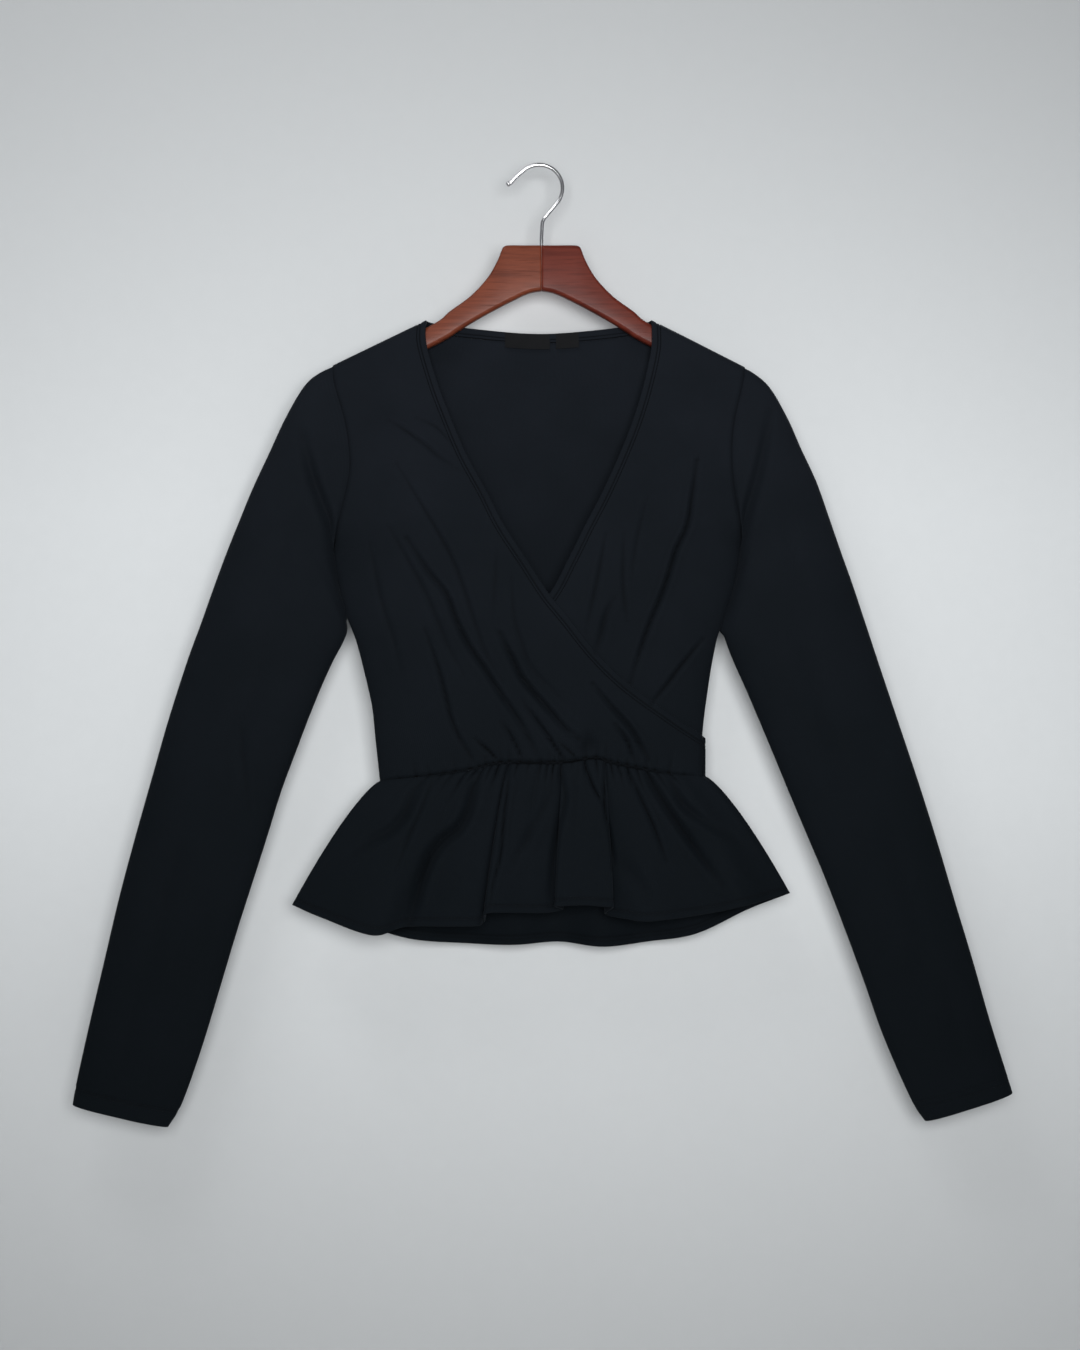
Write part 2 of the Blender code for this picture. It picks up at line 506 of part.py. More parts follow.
def make_back(cloth):
    """The back bodice and the turned edge of the back neck. Returns the middle of its lower edge."""
    left = outer_edge(ARMHOLE_LEFT, SIDE_LEFT)
    right = outer_edge(ARMHOLE_RIGHT, SIDE_RIGHT)
    neck = fine_curve(NECK_BACK)
    steps = cosine_steps(BACK_NECK_COLUMNS)

    def neck_row(distance):
        """The back neckline moved down, out to where it meets the shoulder line."""
        spread = 1.0 + distance * 2.0 / (neck[-1, 0] - neck[0, 0])
        middle = 0.5 * (neck[0, 0] + neck[-1, 0])
        row = along(neck, steps)
        x = middle + (row[:, 0] - middle) * spread
        z = row[:, 1] - distance
        z[0], z[-1] = ridge_height(x[0]), ridge_height(x[-1])
        return np.column_stack((x, z))

    edge = neck_row(BAND_WIDTH + SEAM_GAP)
    shoulder = np.linspace(0.0, 1.0, SHOULDER_COLUMNS + 1)[:, None]
    left_run = left[0] + (edge[0] - left[0]) * shoulder
    right_run = edge[-1] + (right[0] - edge[-1]) * shoulder
    top = np.vstack((left_run[:-1], edge, right_run[1:]))
    lengths = np.concatenate(([0.0], np.cumsum(np.linalg.norm(np.diff(top, axis=0), axis=1))))
    bottom = line_between(WAIST_BACK, left[-1, 0], right[-1, 0])
    rows = side_rows(ARMHOLE_LEFT, SIDE_LEFT), side_rows(ARMHOLE_RIGHT, SIDE_RIGHT)
    grid = patch(top, bottom, left, right, lengths / lengths[-1], *rows)
    x, z = grid[..., 0], grid[..., 1]
    points, hint = bodice(x, z, 1, 0.0, BACK_FOLDS)
    outward = grid_normals(points, hint)
    for column in (0, -1):
        outward[:ARM_STEPS, column] = hint[:ARM_STEPS, column]
        flatten(outward, slice(ARM_STEPS, None), column, 1)
    flatten(outward, 0, slice(0, SHOULDER_COLUMNS + 1), 1)
    flatten(outward, 0, slice(-SHOULDER_COLUMNS - 1, None), 1)
    flatten(outward, -1, slice(None), 2)
    shell("back", points, outward, WALL, cloth)

    strip = np.stack([neck_row(BAND_WIDTH * k / BAND_COLUMNS) for k in range(BAND_COLUMNS + 1)])
    band_points, band_outward = bodice(strip[..., 0], strip[..., 1], 1, 0.0, BACK_FOLDS)
    flatten(band_outward, slice(None), 0, 1)
    flatten(band_outward, slice(None), -1, 1)
    shell("band_back", band_points, band_outward, BAND_WALL, cloth)
    return points[-1], outward[-1]


def make_labels(satin):
    """Two bare labels on the inside of the back neck."""
    neck = fine_curve(NECK_BACK)
    for name, middle, width, height in LABELS:
        x = middle + width * np.array((-0.5, -0.17, 0.17, 0.5))
        top = np.interp(x, neck[:, 0], neck[:, 1]) - LABEL_TOP
        grid_x = np.tile(x, (2, 1))
        grid_z = np.stack((top, top - height))
        points, outward = bodice(grid_x, grid_z, 1, -LABEL_STAND_OFF)
        shell(name, points, outward, LABEL_WALL, satin)


def make_sleeve(name, stations, armhole, cloth):
    """One sleeve, from the armhole to the open cuff: a front and a back that meet along its two creases."""
    sign = math.copysign(1.0, stations[-1][0])
    t = cosine_steps(ARM_STEPS)
    arm = along(fine_curve(armhole), t)
    folded_down = smoothstep((t - FOLD_START) / (1.0 - FOLD_START) * 2.0)
    bend = arm - (arm[0] + (arm[-1] - arm[0]) * t[:, None])
    bulge = np.sqrt(np.maximum(0.0, 1.0 - np.abs(2.0 * t - 1.0) ** SIDE_ROUNDING))
    last = len(stations) - 1
    dense = fine_curve(stations, CURVE_STEPS)
    halves = (("_front", -1, FRONT_FOLDS, SLEEVE_FOLDS), ("_back", 1, BACK_FOLDS, ()))
    for half, side, body_folds, sleeve_folds in halves:
        start, start_out = bodice(arm[:, 0], arm[:, 1], side, 0.0, body_folds)
        rows = []
        for place in np.linspace(0.0, last, SLEEVE_RINGS + 1):
            outer_x, outer_z, inner_x, inner_z, *depths = dense[int(round(place * CURVE_STEPS))]
            keep = max(0.0, 1.0 - place / SLEEVE_BLEND_STATIONS) ** 2
            x = outer_x + (inner_x - outer_x) * t + keep * bend[:, 0]
            z = outer_z + (inner_z - outer_z) * t + keep * bend[:, 1]
            pressed = fold_depth(x, z, sleeve_folds) * smoothstep(2.0 * bulge - 0.6)
            depth = (1 - keep) * (depths[0 if side < 0 else 1] * bulge + pressed) + keep * np.abs(start[:, 1])
            rows.append(np.column_stack((x, side * np.maximum(depth, 0.5 * SEAM_GAP), z)))
        points = np.array(rows)
        points[..., 0] += sign * (SEAM_GAP + (UNDERARM_GAP - SEAM_GAP) * folded_down)
        outward = grid_normals(points, points - points.mean(axis=1, keepdims=True) * (1.0, 0.0, 1.0))
        share = folded_down[:, None]
        outward[0] = unit(start_out * (1 - share) + outward[0] * share)
        flatten(outward, slice(None), 0, 1)
        flatten(outward, slice(None), -1, 1)
        shell(name + half, points, outward, WALL, cloth)


def make_peplum(name, rows, side, columns, seam_points, seam_outward, cloth):
    """One half of the peplum: it starts on the waist seam and widens into ridges and valleys at the hem."""
    dense = fine_curve(rows, CURVE_STEPS)
    hem_length = np.concatenate(([0.0], np.cumsum(np.linalg.norm(np.diff(dense[:, 1:3], axis=0), axis=1))))
    u = np.linspace(0.0, 1.0, columns + 1)
    waist_x, hem_x, hem_y, hem_z = (np.interp(u * hem_length[-1], hem_length, dense[:, k]) for k in range(4))
    order = np.argsort(seam_points[:, 0])
    seam_points, seam_outward = seam_points[order], seam_outward[order]
    seam_x = seam_points[:, 0]
    waist = np.column_stack([np.interp(waist_x, seam_x, seam_points[:, k]) for k in range(3)])
    waist[:, 2] -= SEAM_GAP
    top_out = unit(np.column_stack([np.interp(waist_x, seam_x, seam_outward[:, k]) for k in range(3)]))
    phase = 2 * np.pi * (waist_x - waist_x[0]) / GATHER_PITCH
    quiet_ends = smoothstep(4.0 * (0.5 - np.abs(u - 0.5)))
    grid = []
    for v in PEPLUM_ROWS:
        spread = v ** FLARE_POWER
        fade = GATHER_FADE * v * math.exp(1.0 - GATHER_FADE * v)
        gather = GATHER_DEPTH * fade * np.sin(phase) * quiet_ends
        x = waist[:, 0] + (hem_x - waist[:, 0]) * spread
        y = waist[:, 1] + (hem_y - waist[:, 1]) * spread + side * gather
        z = waist[:, 2] + (hem_z - waist[:, 2]) * v
        y[[0, -1]] = side * 0.5 * SEAM_GAP
        grid.append(np.column_stack((x, y, z)))
    points = np.array(grid)
    hint = np.zeros_like(points)
    hint[..., 1] = side
    outward = grid_normals(points, hint)
    flatten(outward, slice(None), 0, 1)
    flatten(outward, slice(None), -1, 1)
    outward[0] = top_out
    shell(name, points, outward, WALL, cloth)


def rounded_section(upper, lower, thickness, rounding):
    """Points around a rounded bar whose middle plane runs from lower to upper."""
    upper, lower = np.array((upper[0], 0.0, upper[1])), np.array((lower[0], 0.0, lower[1]))
    middle, reach = 0.5 * (upper + lower), 0.5 * (upper - lower)
    half = np.linalg.norm(reach)
    along_bar = reach / half
    radius = min(rounding, 0.45 * half)
    points = []
    for corner_y, corner_a, start in ((1, 1, 0), (-1, 1, 90), (-1, -1, 180), (1, -1, 270)):
        for step in range(CORNER_STEPS + 1):
            angle = math.radians(start + 90.0 * step / CORNER_STEPS)
            y = corner_y * (thickness / 2 - radius) + radius * math.cos(angle)
            a = corner_a * (half - radius) + radius * math.sin(angle)
            points.append(middle + along_bar * a + np.array((0.0, y, 0.0)))
    return points


def make_hanger(wood):
    """Two arms that meet at the centre, each lofted through rounded sections."""
    for name, sign in (("hanger_left", -1.0), ("hanger_right", 1.0)):
        points, faces = [], []
        for upper_x, upper_z, lower_x, lower_z in HANGER_ARM:
            points += rounded_section((upper_x, upper_z), (lower_x, lower_z), HANGER_THICKNESS, HANGER_EDGE)
        ring = 4 * (CORNER_STEPS + 1)
        for i in range(len(HANGER_ARM) - 1):
            for j in range(ring):
                a, b = i * ring + j, i * ring + (j + 1) % ring
                faces.append((a, b, b + ring, a + ring))
        faces.append(tuple(range(ring)))
        faces.append(tuple(range(len(points) - ring, len(points))))
        placed = [(HANGER_X + sign * (point[0] + SEAM_GAP / 2), point[1], point[2]) for point in points]
        add_mesh(name, placed, faces, wood)


def make_hook(chrome):
    """The bent wire of the hook, down to the top of the wood."""
    centre_z = WIRE_RADIUS - HOOK_RADIUS
    start, stop = (math.radians(angle) for angle in HOOK_ARC)
    arc = [(HOOK_TOP_X + HOOK_RADIUS * math.cos(angle), centre_z + HOOK_RADIUS * math.sin(angle))
           for angle in np.linspace(start, stop, ARC_POINTS)]
    stem_end = (HANGER_X, HANGER_TOP + SEAM_GAP)
    route = fine_curve(list(HOOK_TIP) + arc + list(HOOK_STEM) + [stem_end])
    count = int(round(curve_length(route) / HOOK_SEGMENT))
    bent = along(route, np.linspace(0.0, 1.0, count + 1))
    curve = bpy.data.curves.new("hanger_hook", "CURVE")
    curve.dimensions = "3D"
    curve.bevel_depth = WIRE_RADIUS * METRES_PER_MM
    curve.bevel_resolution = 3
    curve.use_fill_caps = True
    spline = curve.splines.new("POLY")
    spline.points.add(len(bent) - 1)
    for point, place in zip(spline.points, to_metres([(x, 0.0, z) for x, z in bent])):
        point.co = (*place, 1.0)
    curve.materials.append(chrome)
    hook = bpy.data.objects.new("hanger_hook", curve)
    bpy.context.scene.collection.objects.link(hook)


def build():
    """Make every piece."""
    clear_scene()
    cloth = make_material("cloth_black", CLOTH_COLOUR, 0.75)
    satin = make_material("label_satin", LABEL_COLOUR, 0.4)
    wood = make_material("hanger_wood", WOOD_COLOUR, 0.35)
    chrome = make_material("hook_chrome", CHROME_COLOUR, 0.15, 1.0)
    front_seam = make_fronts(cloth)
    back_seam = make_back(cloth)
    make_labels(satin)
    make_sleeve("sleeve_left", SLEEVE_LEFT, ARMHOLE_LEFT, cloth)
    make_sleeve("sleeve_right", SLEEVE_RIGHT, ARMHOLE_RIGHT, cloth)
    make_peplum("peplum_front", PEPLUM_FRONT, -1, PEPLUM_FRONT_COLUMNS, *front_seam, cloth)
    make_peplum("peplum_back", PEPLUM_BACK, 1, PEPLUM_BACK_COLUMNS, *back_seam, cloth)
    make_hanger(wood)
    make_hook(chrome)


build()
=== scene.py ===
# %% [markdown]
# # A black wrap top with a peplum, on a wooden hanger
# The imported solids give the size and the place of every piece. This file hides each plain solid behind a
# finer piece of the same form, and adds the folds, the sewing and the finishes. The dressed top must stay
# as large as it.

# %% Load the imported model
import math

import bmesh
import bpy
import numpy as np
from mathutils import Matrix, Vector


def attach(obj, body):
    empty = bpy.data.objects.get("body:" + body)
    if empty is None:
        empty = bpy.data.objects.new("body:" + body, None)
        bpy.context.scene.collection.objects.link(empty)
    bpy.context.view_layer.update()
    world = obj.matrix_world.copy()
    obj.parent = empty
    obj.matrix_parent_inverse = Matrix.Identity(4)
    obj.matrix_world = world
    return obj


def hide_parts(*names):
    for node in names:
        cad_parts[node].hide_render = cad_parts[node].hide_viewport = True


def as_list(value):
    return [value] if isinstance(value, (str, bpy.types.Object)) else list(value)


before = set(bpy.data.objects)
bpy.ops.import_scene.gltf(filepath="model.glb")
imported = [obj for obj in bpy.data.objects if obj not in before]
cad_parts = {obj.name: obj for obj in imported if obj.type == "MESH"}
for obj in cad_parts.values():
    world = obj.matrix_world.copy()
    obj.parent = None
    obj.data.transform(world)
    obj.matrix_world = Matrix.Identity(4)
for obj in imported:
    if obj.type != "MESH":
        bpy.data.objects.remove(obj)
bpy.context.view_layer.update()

# %% [markdown]
# The tables are in millimetres from a line a little to the left of the hook's top, as in the CAD source.
# Blender works in metres, so one helper moves and scales every point. Another puts a new object in the scene.

# %% Units
METRES_PER_MM = 0.001
HOOK_TOP_X = 2.3


def to_metres(points):
    """Points of the tables, in millimetres, as metres from the hook's top."""
    return (np.asarray(points, float) - (HOOK_TOP_X, 0.0, 0.0)) * METRES_PER_MM


def put(name, data):
    """A new object in the scene."""
    thing = bpy.data.objects.new(name, data)
    bpy.context.scene.collection.objects.link(thing)
    return thing


print("the hook's top is at", to_metres((HOOK_TOP_X, 0.0, 0.0)))

# %% [markdown]
# ## Camera, room and light
# The top hangs against a pale wall and is seen straight on from about 1.8 m. The wall is a separate sheet
# that is clear from behind, so that a view from the back shows the top and not a wall.

# %% Camera
PHOTO_MIDDLE = (3.0, -442.0)      # the middle of the picture on the hanger's plane: x, z in mm
CAMERA_DISTANCE = 1.8
PICTURE_HEIGHT = 1.1745           # metres of the hanger's plane from the top to the bottom of the picture
SENSOR = 36.0

lens = bpy.data.cameras.new("camera")
lens.sensor_fit = "AUTO"
lens.sensor_width = SENSOR
lens.lens = SENSOR * CAMERA_DISTANCE / PICTURE_HEIGHT
camera = put("camera", lens)
middle = to_metres((PHOTO_MIDDLE[0], 0.0, PHOTO_MIDDLE[1]))
camera.location = (middle[0], -CAMERA_DISTANCE, middle[2])
camera.rotation_euler = (math.pi / 2, 0.0, 0.0)
bpy.context.scene.camera = camera
print("lens", round(lens.lens, 1), "mm")

# %% [markdown]
# ## Shader sums as plain Python
# A material is a graph of nodes. To read it like a formula, one small class wraps a socket and gives it the
# signs + - * and a few functions, each of which adds a Math node. Any other node comes from Finish.node.

# %% The socket
class Value:
    """One socket of a material that takes part in sums."""

    def __init__(self, finish, socket):
        self.finish, self.socket = finish, socket

    def maths(self, operation, *others):
        return self.finish.node("ShaderNodeMath", {"operation": operation}, dict(enumerate((self, *others))))

    def __add__(self, other): return self.maths("ADD", other)
    def __mul__(self, other): return self.maths("MULTIPLY", other)
    def __sub__(self, other): return self.maths("SUBTRACT", other)
    def __rsub__(self, other): return self.finish.number(other).maths("SUBTRACT", self)
    def sine(self): return self.maths("SINE")
    def size(self): return self.maths("ABSOLUTE")
    def limited(self): return self.maths("MAXIMUM", 0.0).maths("MINIMUM", 1.0)
    __radd__ = __add__


# %% The finish
class Finish:
    """A material that is being made: every node but the sums comes from node()."""

    def __init__(self, name):
        self.material = bpy.data.materials.new(name)
        self.material.use_nodes = True
        self.tree = self.material.node_tree
        self.shader = self.tree.nodes["Principled BSDF"]

    def fill(self, node, sockets):
        for key, item in sockets.items():
            if isinstance(item, Value):
                self.tree.links.new(item.socket, node.inputs[key])
            else:
                node.inputs[key].default_value = item

    def node(self, kind, settings=(), sockets=(), out=0):
        made = self.tree.nodes.new(kind)
        for key, item in dict(settings).items():
            if key == "stops":
                ramp = made.color_ramp
                while len(ramp.elements) < len(item):
                    ramp.elements.new(0.5)
                for stop, (place, colour) in zip(ramp.elements, item):
                    stop.position, stop.color = place, (*colour, 1.0)
            else:
                setattr(made, key, item)
        self.fill(made, dict(sockets))
        return Value(self, made.outputs[out])

    def number(self, value):
        made = self.node("ShaderNodeValue")
        made.socket.default_value = value
        return made

    def mix(self, share, first, second):
        """A colour between two others."""
        first, second = (end if isinstance(end, Value) else (*end, 1.0) for end in (first, second))
        sockets = {"Factor": share, 6: first, 7: second}
        return self.node("ShaderNodeMix", {"data_type": "RGBA"}, sockets, out=2)

    def place(self):
        """The point on the object, in metres."""
        return self.node("ShaderNodeTexCoord", out="Object")

    def split(self, vector):
        parts = self.tree.nodes.new("ShaderNodeSeparateXYZ")
        self.fill(parts, {0: vector})
        return [Value(self, socket) for socket in parts.outputs]

    def cloth_place(self):
        """The place on the cloth in metres: as a vector, and its parts across and along."""
        both = self.node("ShaderNodeUVMap", {"uv_map": "cloth"})
        return [both] + self.split(both)[:2]

    def height(self):
        """Metres above the hook's top, so less than nothing on the cloth."""
        return self.split(self.place())[2]

    def noise(self, vector, scale, detail=2.0, roughness=0.5):
        sockets = {"Vector": vector, "Scale": scale, "Detail": detail, "Roughness": roughness}
        return self.node("ShaderNodeTexNoise", {}, sockets, out="Fac")

    def stretched(self, vector, scale, turn=0.0):
        """A place, turned in the hanger's plane and stretched."""
        sockets = {"Vector": vector, "Rotation": (0.0, turn, 0.0), "Scale": scale}
        return self.node("ShaderNodeMapping", {}, sockets)

    def bump(self, height, distance, strength):
        return self.node("ShaderNodeBump", {}, {"Height": height, "Distance": distance, "Strength": strength})

    def done(self, **sockets):
        self.fill(self.shader, {key.replace("_", " "): item for key, item in sockets.items()})
        print("finish", self.material.name, "with", len(self.tree.nodes), "nodes")
        return self.material


# %% [markdown]
# ## The room
# The wall is one flat sheet. Its material looks at which way its face is turned, and lets everything through
# from behind. Its colour is painted a little darker high up and low down, as in the picture: painted shade
# where the lamp's light falls off. The floor is far below the top, out of the picture. Neither casts a
# shadow, so that the lamp behind the wall lights the top's back.

# %% Wall and floor
WALL_Y, WALL_TOP, WALL_REACH = 0.05, 1.4, 2.4
FLOOR_Z, FLOOR_REACH = -1.25, 3.0
PAINTED_LIGHT_Z, PAINTED_LIGHT_HALF = -0.42, 0.12   # the height where the wall is brightest, and half of that stretch


def flat_sheet(name, corners, material):
    mesh = bpy.data.meshes.new(name)
    mesh.from_pydata(corners, [], [(0, 1, 2, 3)])
    mesh.materials.append(material)
    thing = put(name, mesh)
    thing.visible_shadow = False


wall = Finish("wall_paint_and_painted_shade")
from_behind = wall.node("ShaderNodeNewGeometry", out="Backfacing")
plaster = wall.noise(wall.place(), 90.0, 4.0)
paint = wall.mix(plaster, (0.572, 0.594, 0.606), (0.592, 0.614, 0.626))
# The colour fades to a darker grey above and below the brightest band: painted shade of the light's falloff,
# high up and low down on the wall.
away = (((wall.height() - PAINTED_LIGHT_Z).size() - PAINTED_LIGHT_HALF) * 1.05).limited()
wall.done(Base_Color=wall.mix(away, paint, (0.30, 0.31, 0.315)), Roughness=0.9, Alpha=1.0 - from_behind)
floor = Finish("floor_paint")
dust = floor.noise(floor.place(), 40.0)
floor.done(Base_Color=floor.mix(dust, (0.64, 0.64, 0.635), (0.67, 0.67, 0.665)), Roughness=0.8)
flat_sheet("wall", [(x * WALL_REACH, WALL_Y, z)
                    for x, z in ((-1, FLOOR_Z), (1, FLOOR_Z), (1, WALL_TOP), (-1, WALL_TOP))], wall.material)
flat_sheet("floor", [(x * FLOOR_REACH, y * FLOOR_REACH, FLOOR_Z)
                     for x, y in ((-1, -1), (1, -1), (1, 1), (-1, 1))], floor.material)

# %% [markdown]
# The picture has hardly any shadow on the wall, and its light is strongest at mid height: one soft lamp just
# behind the camera gives that, with painted shade high up and low down on the wall. A weaker one from above
# and the left shades the underside of each fold, and a third lights the back, for views from there.

# %% Lamps
def lamp(name, place, aim, width, height, watts, spread=180.0):
    light = bpy.data.lights.new(name, "AREA")
    light.shape = "RECTANGLE"
    light.size, light.size_y = width, height
    light.energy, light.spread = watts, math.radians(spread)
    thing = put(name, light)
    thing.location = place
    thing.rotation_euler = (Vector(aim) - Vector(place)).to_track_quat("-Z", "Y").to_euler()
    print(name, watts, "W")


lamp("lamp_front", (0.1, -1.95, -0.3), (0.0, 0.0, -0.38), 0.9, 0.6, 11.0, spread=95.0)
lamp("lamp_above", (-0.7, -1.0, 1.2), (0.0, 0.0, -0.45), 1.0, 0.6, 10.0)
lamp("lamp_back", (0.9, 2.2, 0.5), (0.0, 0.0, -0.45), 1.6, 1.2, 60.0)
bpy.context.scene.view_settings.view_transform = "Standard"
sky = bpy.data.worlds.new("sky")
sky.use_nodes = True
shine = sky.node_tree.nodes["Background"].inputs
shine["Color"].default_value, shine["Strength"].default_value = (0.93, 0.96, 1.0, 1.0), 0.17
bpy.context.scene.world = sky

# %% [markdown]
# ## Curves
# Every seam and edge is a short table of points, read as a smooth curve. Two helpers do the reading: one
# makes a dense curve through the points, and the other takes points at even shares of its length.

# %% Smooth curves from short tables
def fine_curve(points, steps=24):
    """A dense Catmull-Rom curve through the points."""
    points = np.asarray(points, float)
    ends = np.vstack((2 * points[0] - points[1], points, 2 * points[-1] - points[-2]))
    dense = []
    for i in range(1, len(ends) - 2):
        before, start, stop, after = ends[i - 1:i + 3]
        for t in np.arange(steps) / steps:
            dense.append(0.5 * (2 * start + (stop - before) * t
                                + (2 * before - 5 * start + 4 * stop - after) * t ** 2
                                + (3 * start - before - 3 * stop + after) * t ** 3))
    dense.append(points[-1])
    return np.array(dense)


def lengths_along(curve):
    return np.concatenate(([0.0], np.cumsum(np.linalg.norm(np.diff(curve, axis=0), axis=1))))


def read(at, places, rows):
    """Every column of the rows, read between their places."""
    return np.stack([np.interp(at, places, column) for column in rows.T], axis=-1)


def along(curve, fractions):
    """Points at these fractions of a dense curve's length."""
    lengths = lengths_along(curve)
    return read(np.asarray(fractions) * lengths[-1], lengths, curve)


def smoothstep(value):
    value = np.clip(value, 0.0, 1.0)
    return value * value * (3.0 - 2.0 * value)


def unit(vectors):
    return vectors / np.maximum(np.linalg.norm(vectors, axis=-1, keepdims=True), 1e-9)


def crowded(count, share=1.0):
    """Fractions from 0 to 1 that crowd at both ends, by the given share."""
    even = np.linspace(0.0, 1.0, count + 1)
    return (1.0 - share) * even + share * 0.5 * (1.0 - np.cos(np.pi * even))


def table_column(table, column, at):
    rows = np.array(sorted((row[0], row[column]) for row in table))
    return np.interp(at, rows[:, 0], rows[:, 1])


print("a straight curve's middle:", along(fine_curve(((0, 0), (1, 0), (2, 0))), [0.5])[0])


# %% [markdown]
# ## The form under the cloth
# A garment on a hanger is a flat bag: it bends round the hanger along the shoulders, stands out a little at
# the chest and closes at the side seams. These tables hold its outline, its necklines and how far it stands
# out, and are the same as the solids', so the fine cloth lies exactly where the solid does.

# %% Outline tables, in millimetres
CENTRE_X = 2.0
SHOULDER_LINE = ((-177, -173), (-96, -134), (CENTRE_X, -88), (99.5, -133.5), (181, -174.5))
ARMHOLE_LEFT = ((-177, -173), (-175.3, -189), (-166.2, -221), (-162.3, -245), (-162.3, -269), (-171.8, -312),
    (-176.6, -337))
ARMHOLE_RIGHT = ((181, -174.5), (178.8, -189), (171, -224), (169.2, -253), (171.8, -285), (177, -314),
    (177, -332))
SIDE_LEFT = ((-176.6, -337), (-174.8, -352), (-171, -372), (-164, -393), (-157, -411), (-152, -429),
    (-143, -468), (-139.5, -501), (-136, -534))
SIDE_RIGHT = ((177, -332), (175, -350), (170.5, -371), (163, -392), (156.5, -411), (151.5, -436), (146, -474),
    (143.5, -500), (143, -530))
NECK_OVER = ((-95.5, -133.8), (-95.3, -155), (-85.7, -189), (-74.4, -219), (-60.5, -251.5), (-43.9, -282),
    (-28.3, -312.5), (-8.3, -343), (10.9, -372.5), (27.4, -392.5), (51.8, -423), (78.7, -449),
    (113.5, -474.5), (146, -496.5))
NECK_UNDER = ((99.5, -133.5), (99.4, -158.5), (93.1, -189), (83.5, -221), (70.9, -253), (56.1, -285.5),
    (41.3, -314), (27.4, -342), (10.9, -372.5), (-14, -400), (-42, -427), (-74, -452), (-108, -475),
    (-122, -490))
NECK_BACK = ((-95.5, -133.8), (-54, -139.5), (4, -143.8), (61, -139.5), (99.5, -133.5))
WAIST_FRONT = ((-136, -534), (-92, -529), (-55, -523), (-31, -517.5), (20, -517), (50, -513), (64, -517),
    (93, -523), (120, -528), (143, -530))
WAIST_BACK = ((-136, -534), (-70, -533), (4, -531), (78, -532), (143, -530))
DEPTHS = ((-130, 9.5, 9.5), (-185, 11, 10.2), (-240, 16, 12), (-310, 23, 14.5), (-390, 25, 15),
    (-460, 20, 13), (-536, 15, 11.5))          # z, depth in front, depth behind
SIDE_ROUNDING = 2.5
ARMHOLE_SPREAD = 72.0
UNDERARM_EASE = 0.2               # the share of the armhole's height over which the form widens gently
EDGE_TURN = 3.0                   # cloth is never turned further round an edge than this depth gives
RIDGE_RADIUS = 7.0
HALF_SEAM = 0.15                  # a front and a back stay this far from the hanger's plane where they meet
for part, line in (("shoulders", SHOULDER_LINE), ("waist", WAIST_BACK)):
    print(part, line[-1][0] - line[0][0], "mm wide")

# %% [markdown]
# The distance from the hanger's plane is worked out as a square, because its slope is then smooth right up to
# the side seams, and the slope gives the direction that is square to the cloth.

# %% The rounded form
def half_width(z, side_seam):
    seam = np.array(sorted((point[1], abs(point[0] - CENTRE_X)) for point in side_seam))
    rise = np.clip((z - seam[-1, 0]) / (SHOULDER_LINE[0][1] - seam[-1, 0]), 0.0, None)
    eased = np.sqrt(rise) * smoothstep(rise / UNDERARM_EASE)
    return np.interp(z, seam[:, 0], seam[:, 1]) + ARMHOLE_SPREAD * eased


def depth_squared(x, z, column):
    depth = table_column(DEPTHS, column, z)
    below = np.minimum((table_column(SHOULDER_LINE, 1, x) - z) / RIDGE_RADIUS, 1.0)
    width = np.where(x < CENTRE_X, half_width(z, SIDE_LEFT), half_width(z, SIDE_RIGHT))
    across = 1.0 - (np.abs(x - CENTRE_X) / width) ** SIDE_ROUNDING
    return depth ** 2 * (1.0 - (1.0 - below) ** 2) * across


def body_form(x, z, side):
    """Points, outward directions and distance from the hanger's plane. side is -1 in front, 1 behind."""
    column, step = (1 if side < 0 else 2), 0.5
    slope_x, slope_z = (
        (depth_squared(x + dx, z + dz, column) - depth_squared(x - dx, z - dz, column)) / (2 * step)
        for dx, dz in ((step, 0.0), (0.0, step)))
    depth = np.sqrt(np.maximum(depth_squared(x, z, column), 0.0))
    turned = side * np.maximum(depth, EDGE_TURN)
    outward = unit(np.stack((-0.5 * slope_x, turned, -0.5 * slope_z), axis=-1))
    return np.stack((x, side * np.maximum(depth, HALF_SEAM), z), axis=-1), outward, depth


print("depth at the chest", body_form(np.array([0.0]), np.array([-350.0]), -1)[2].round(1), "mm")
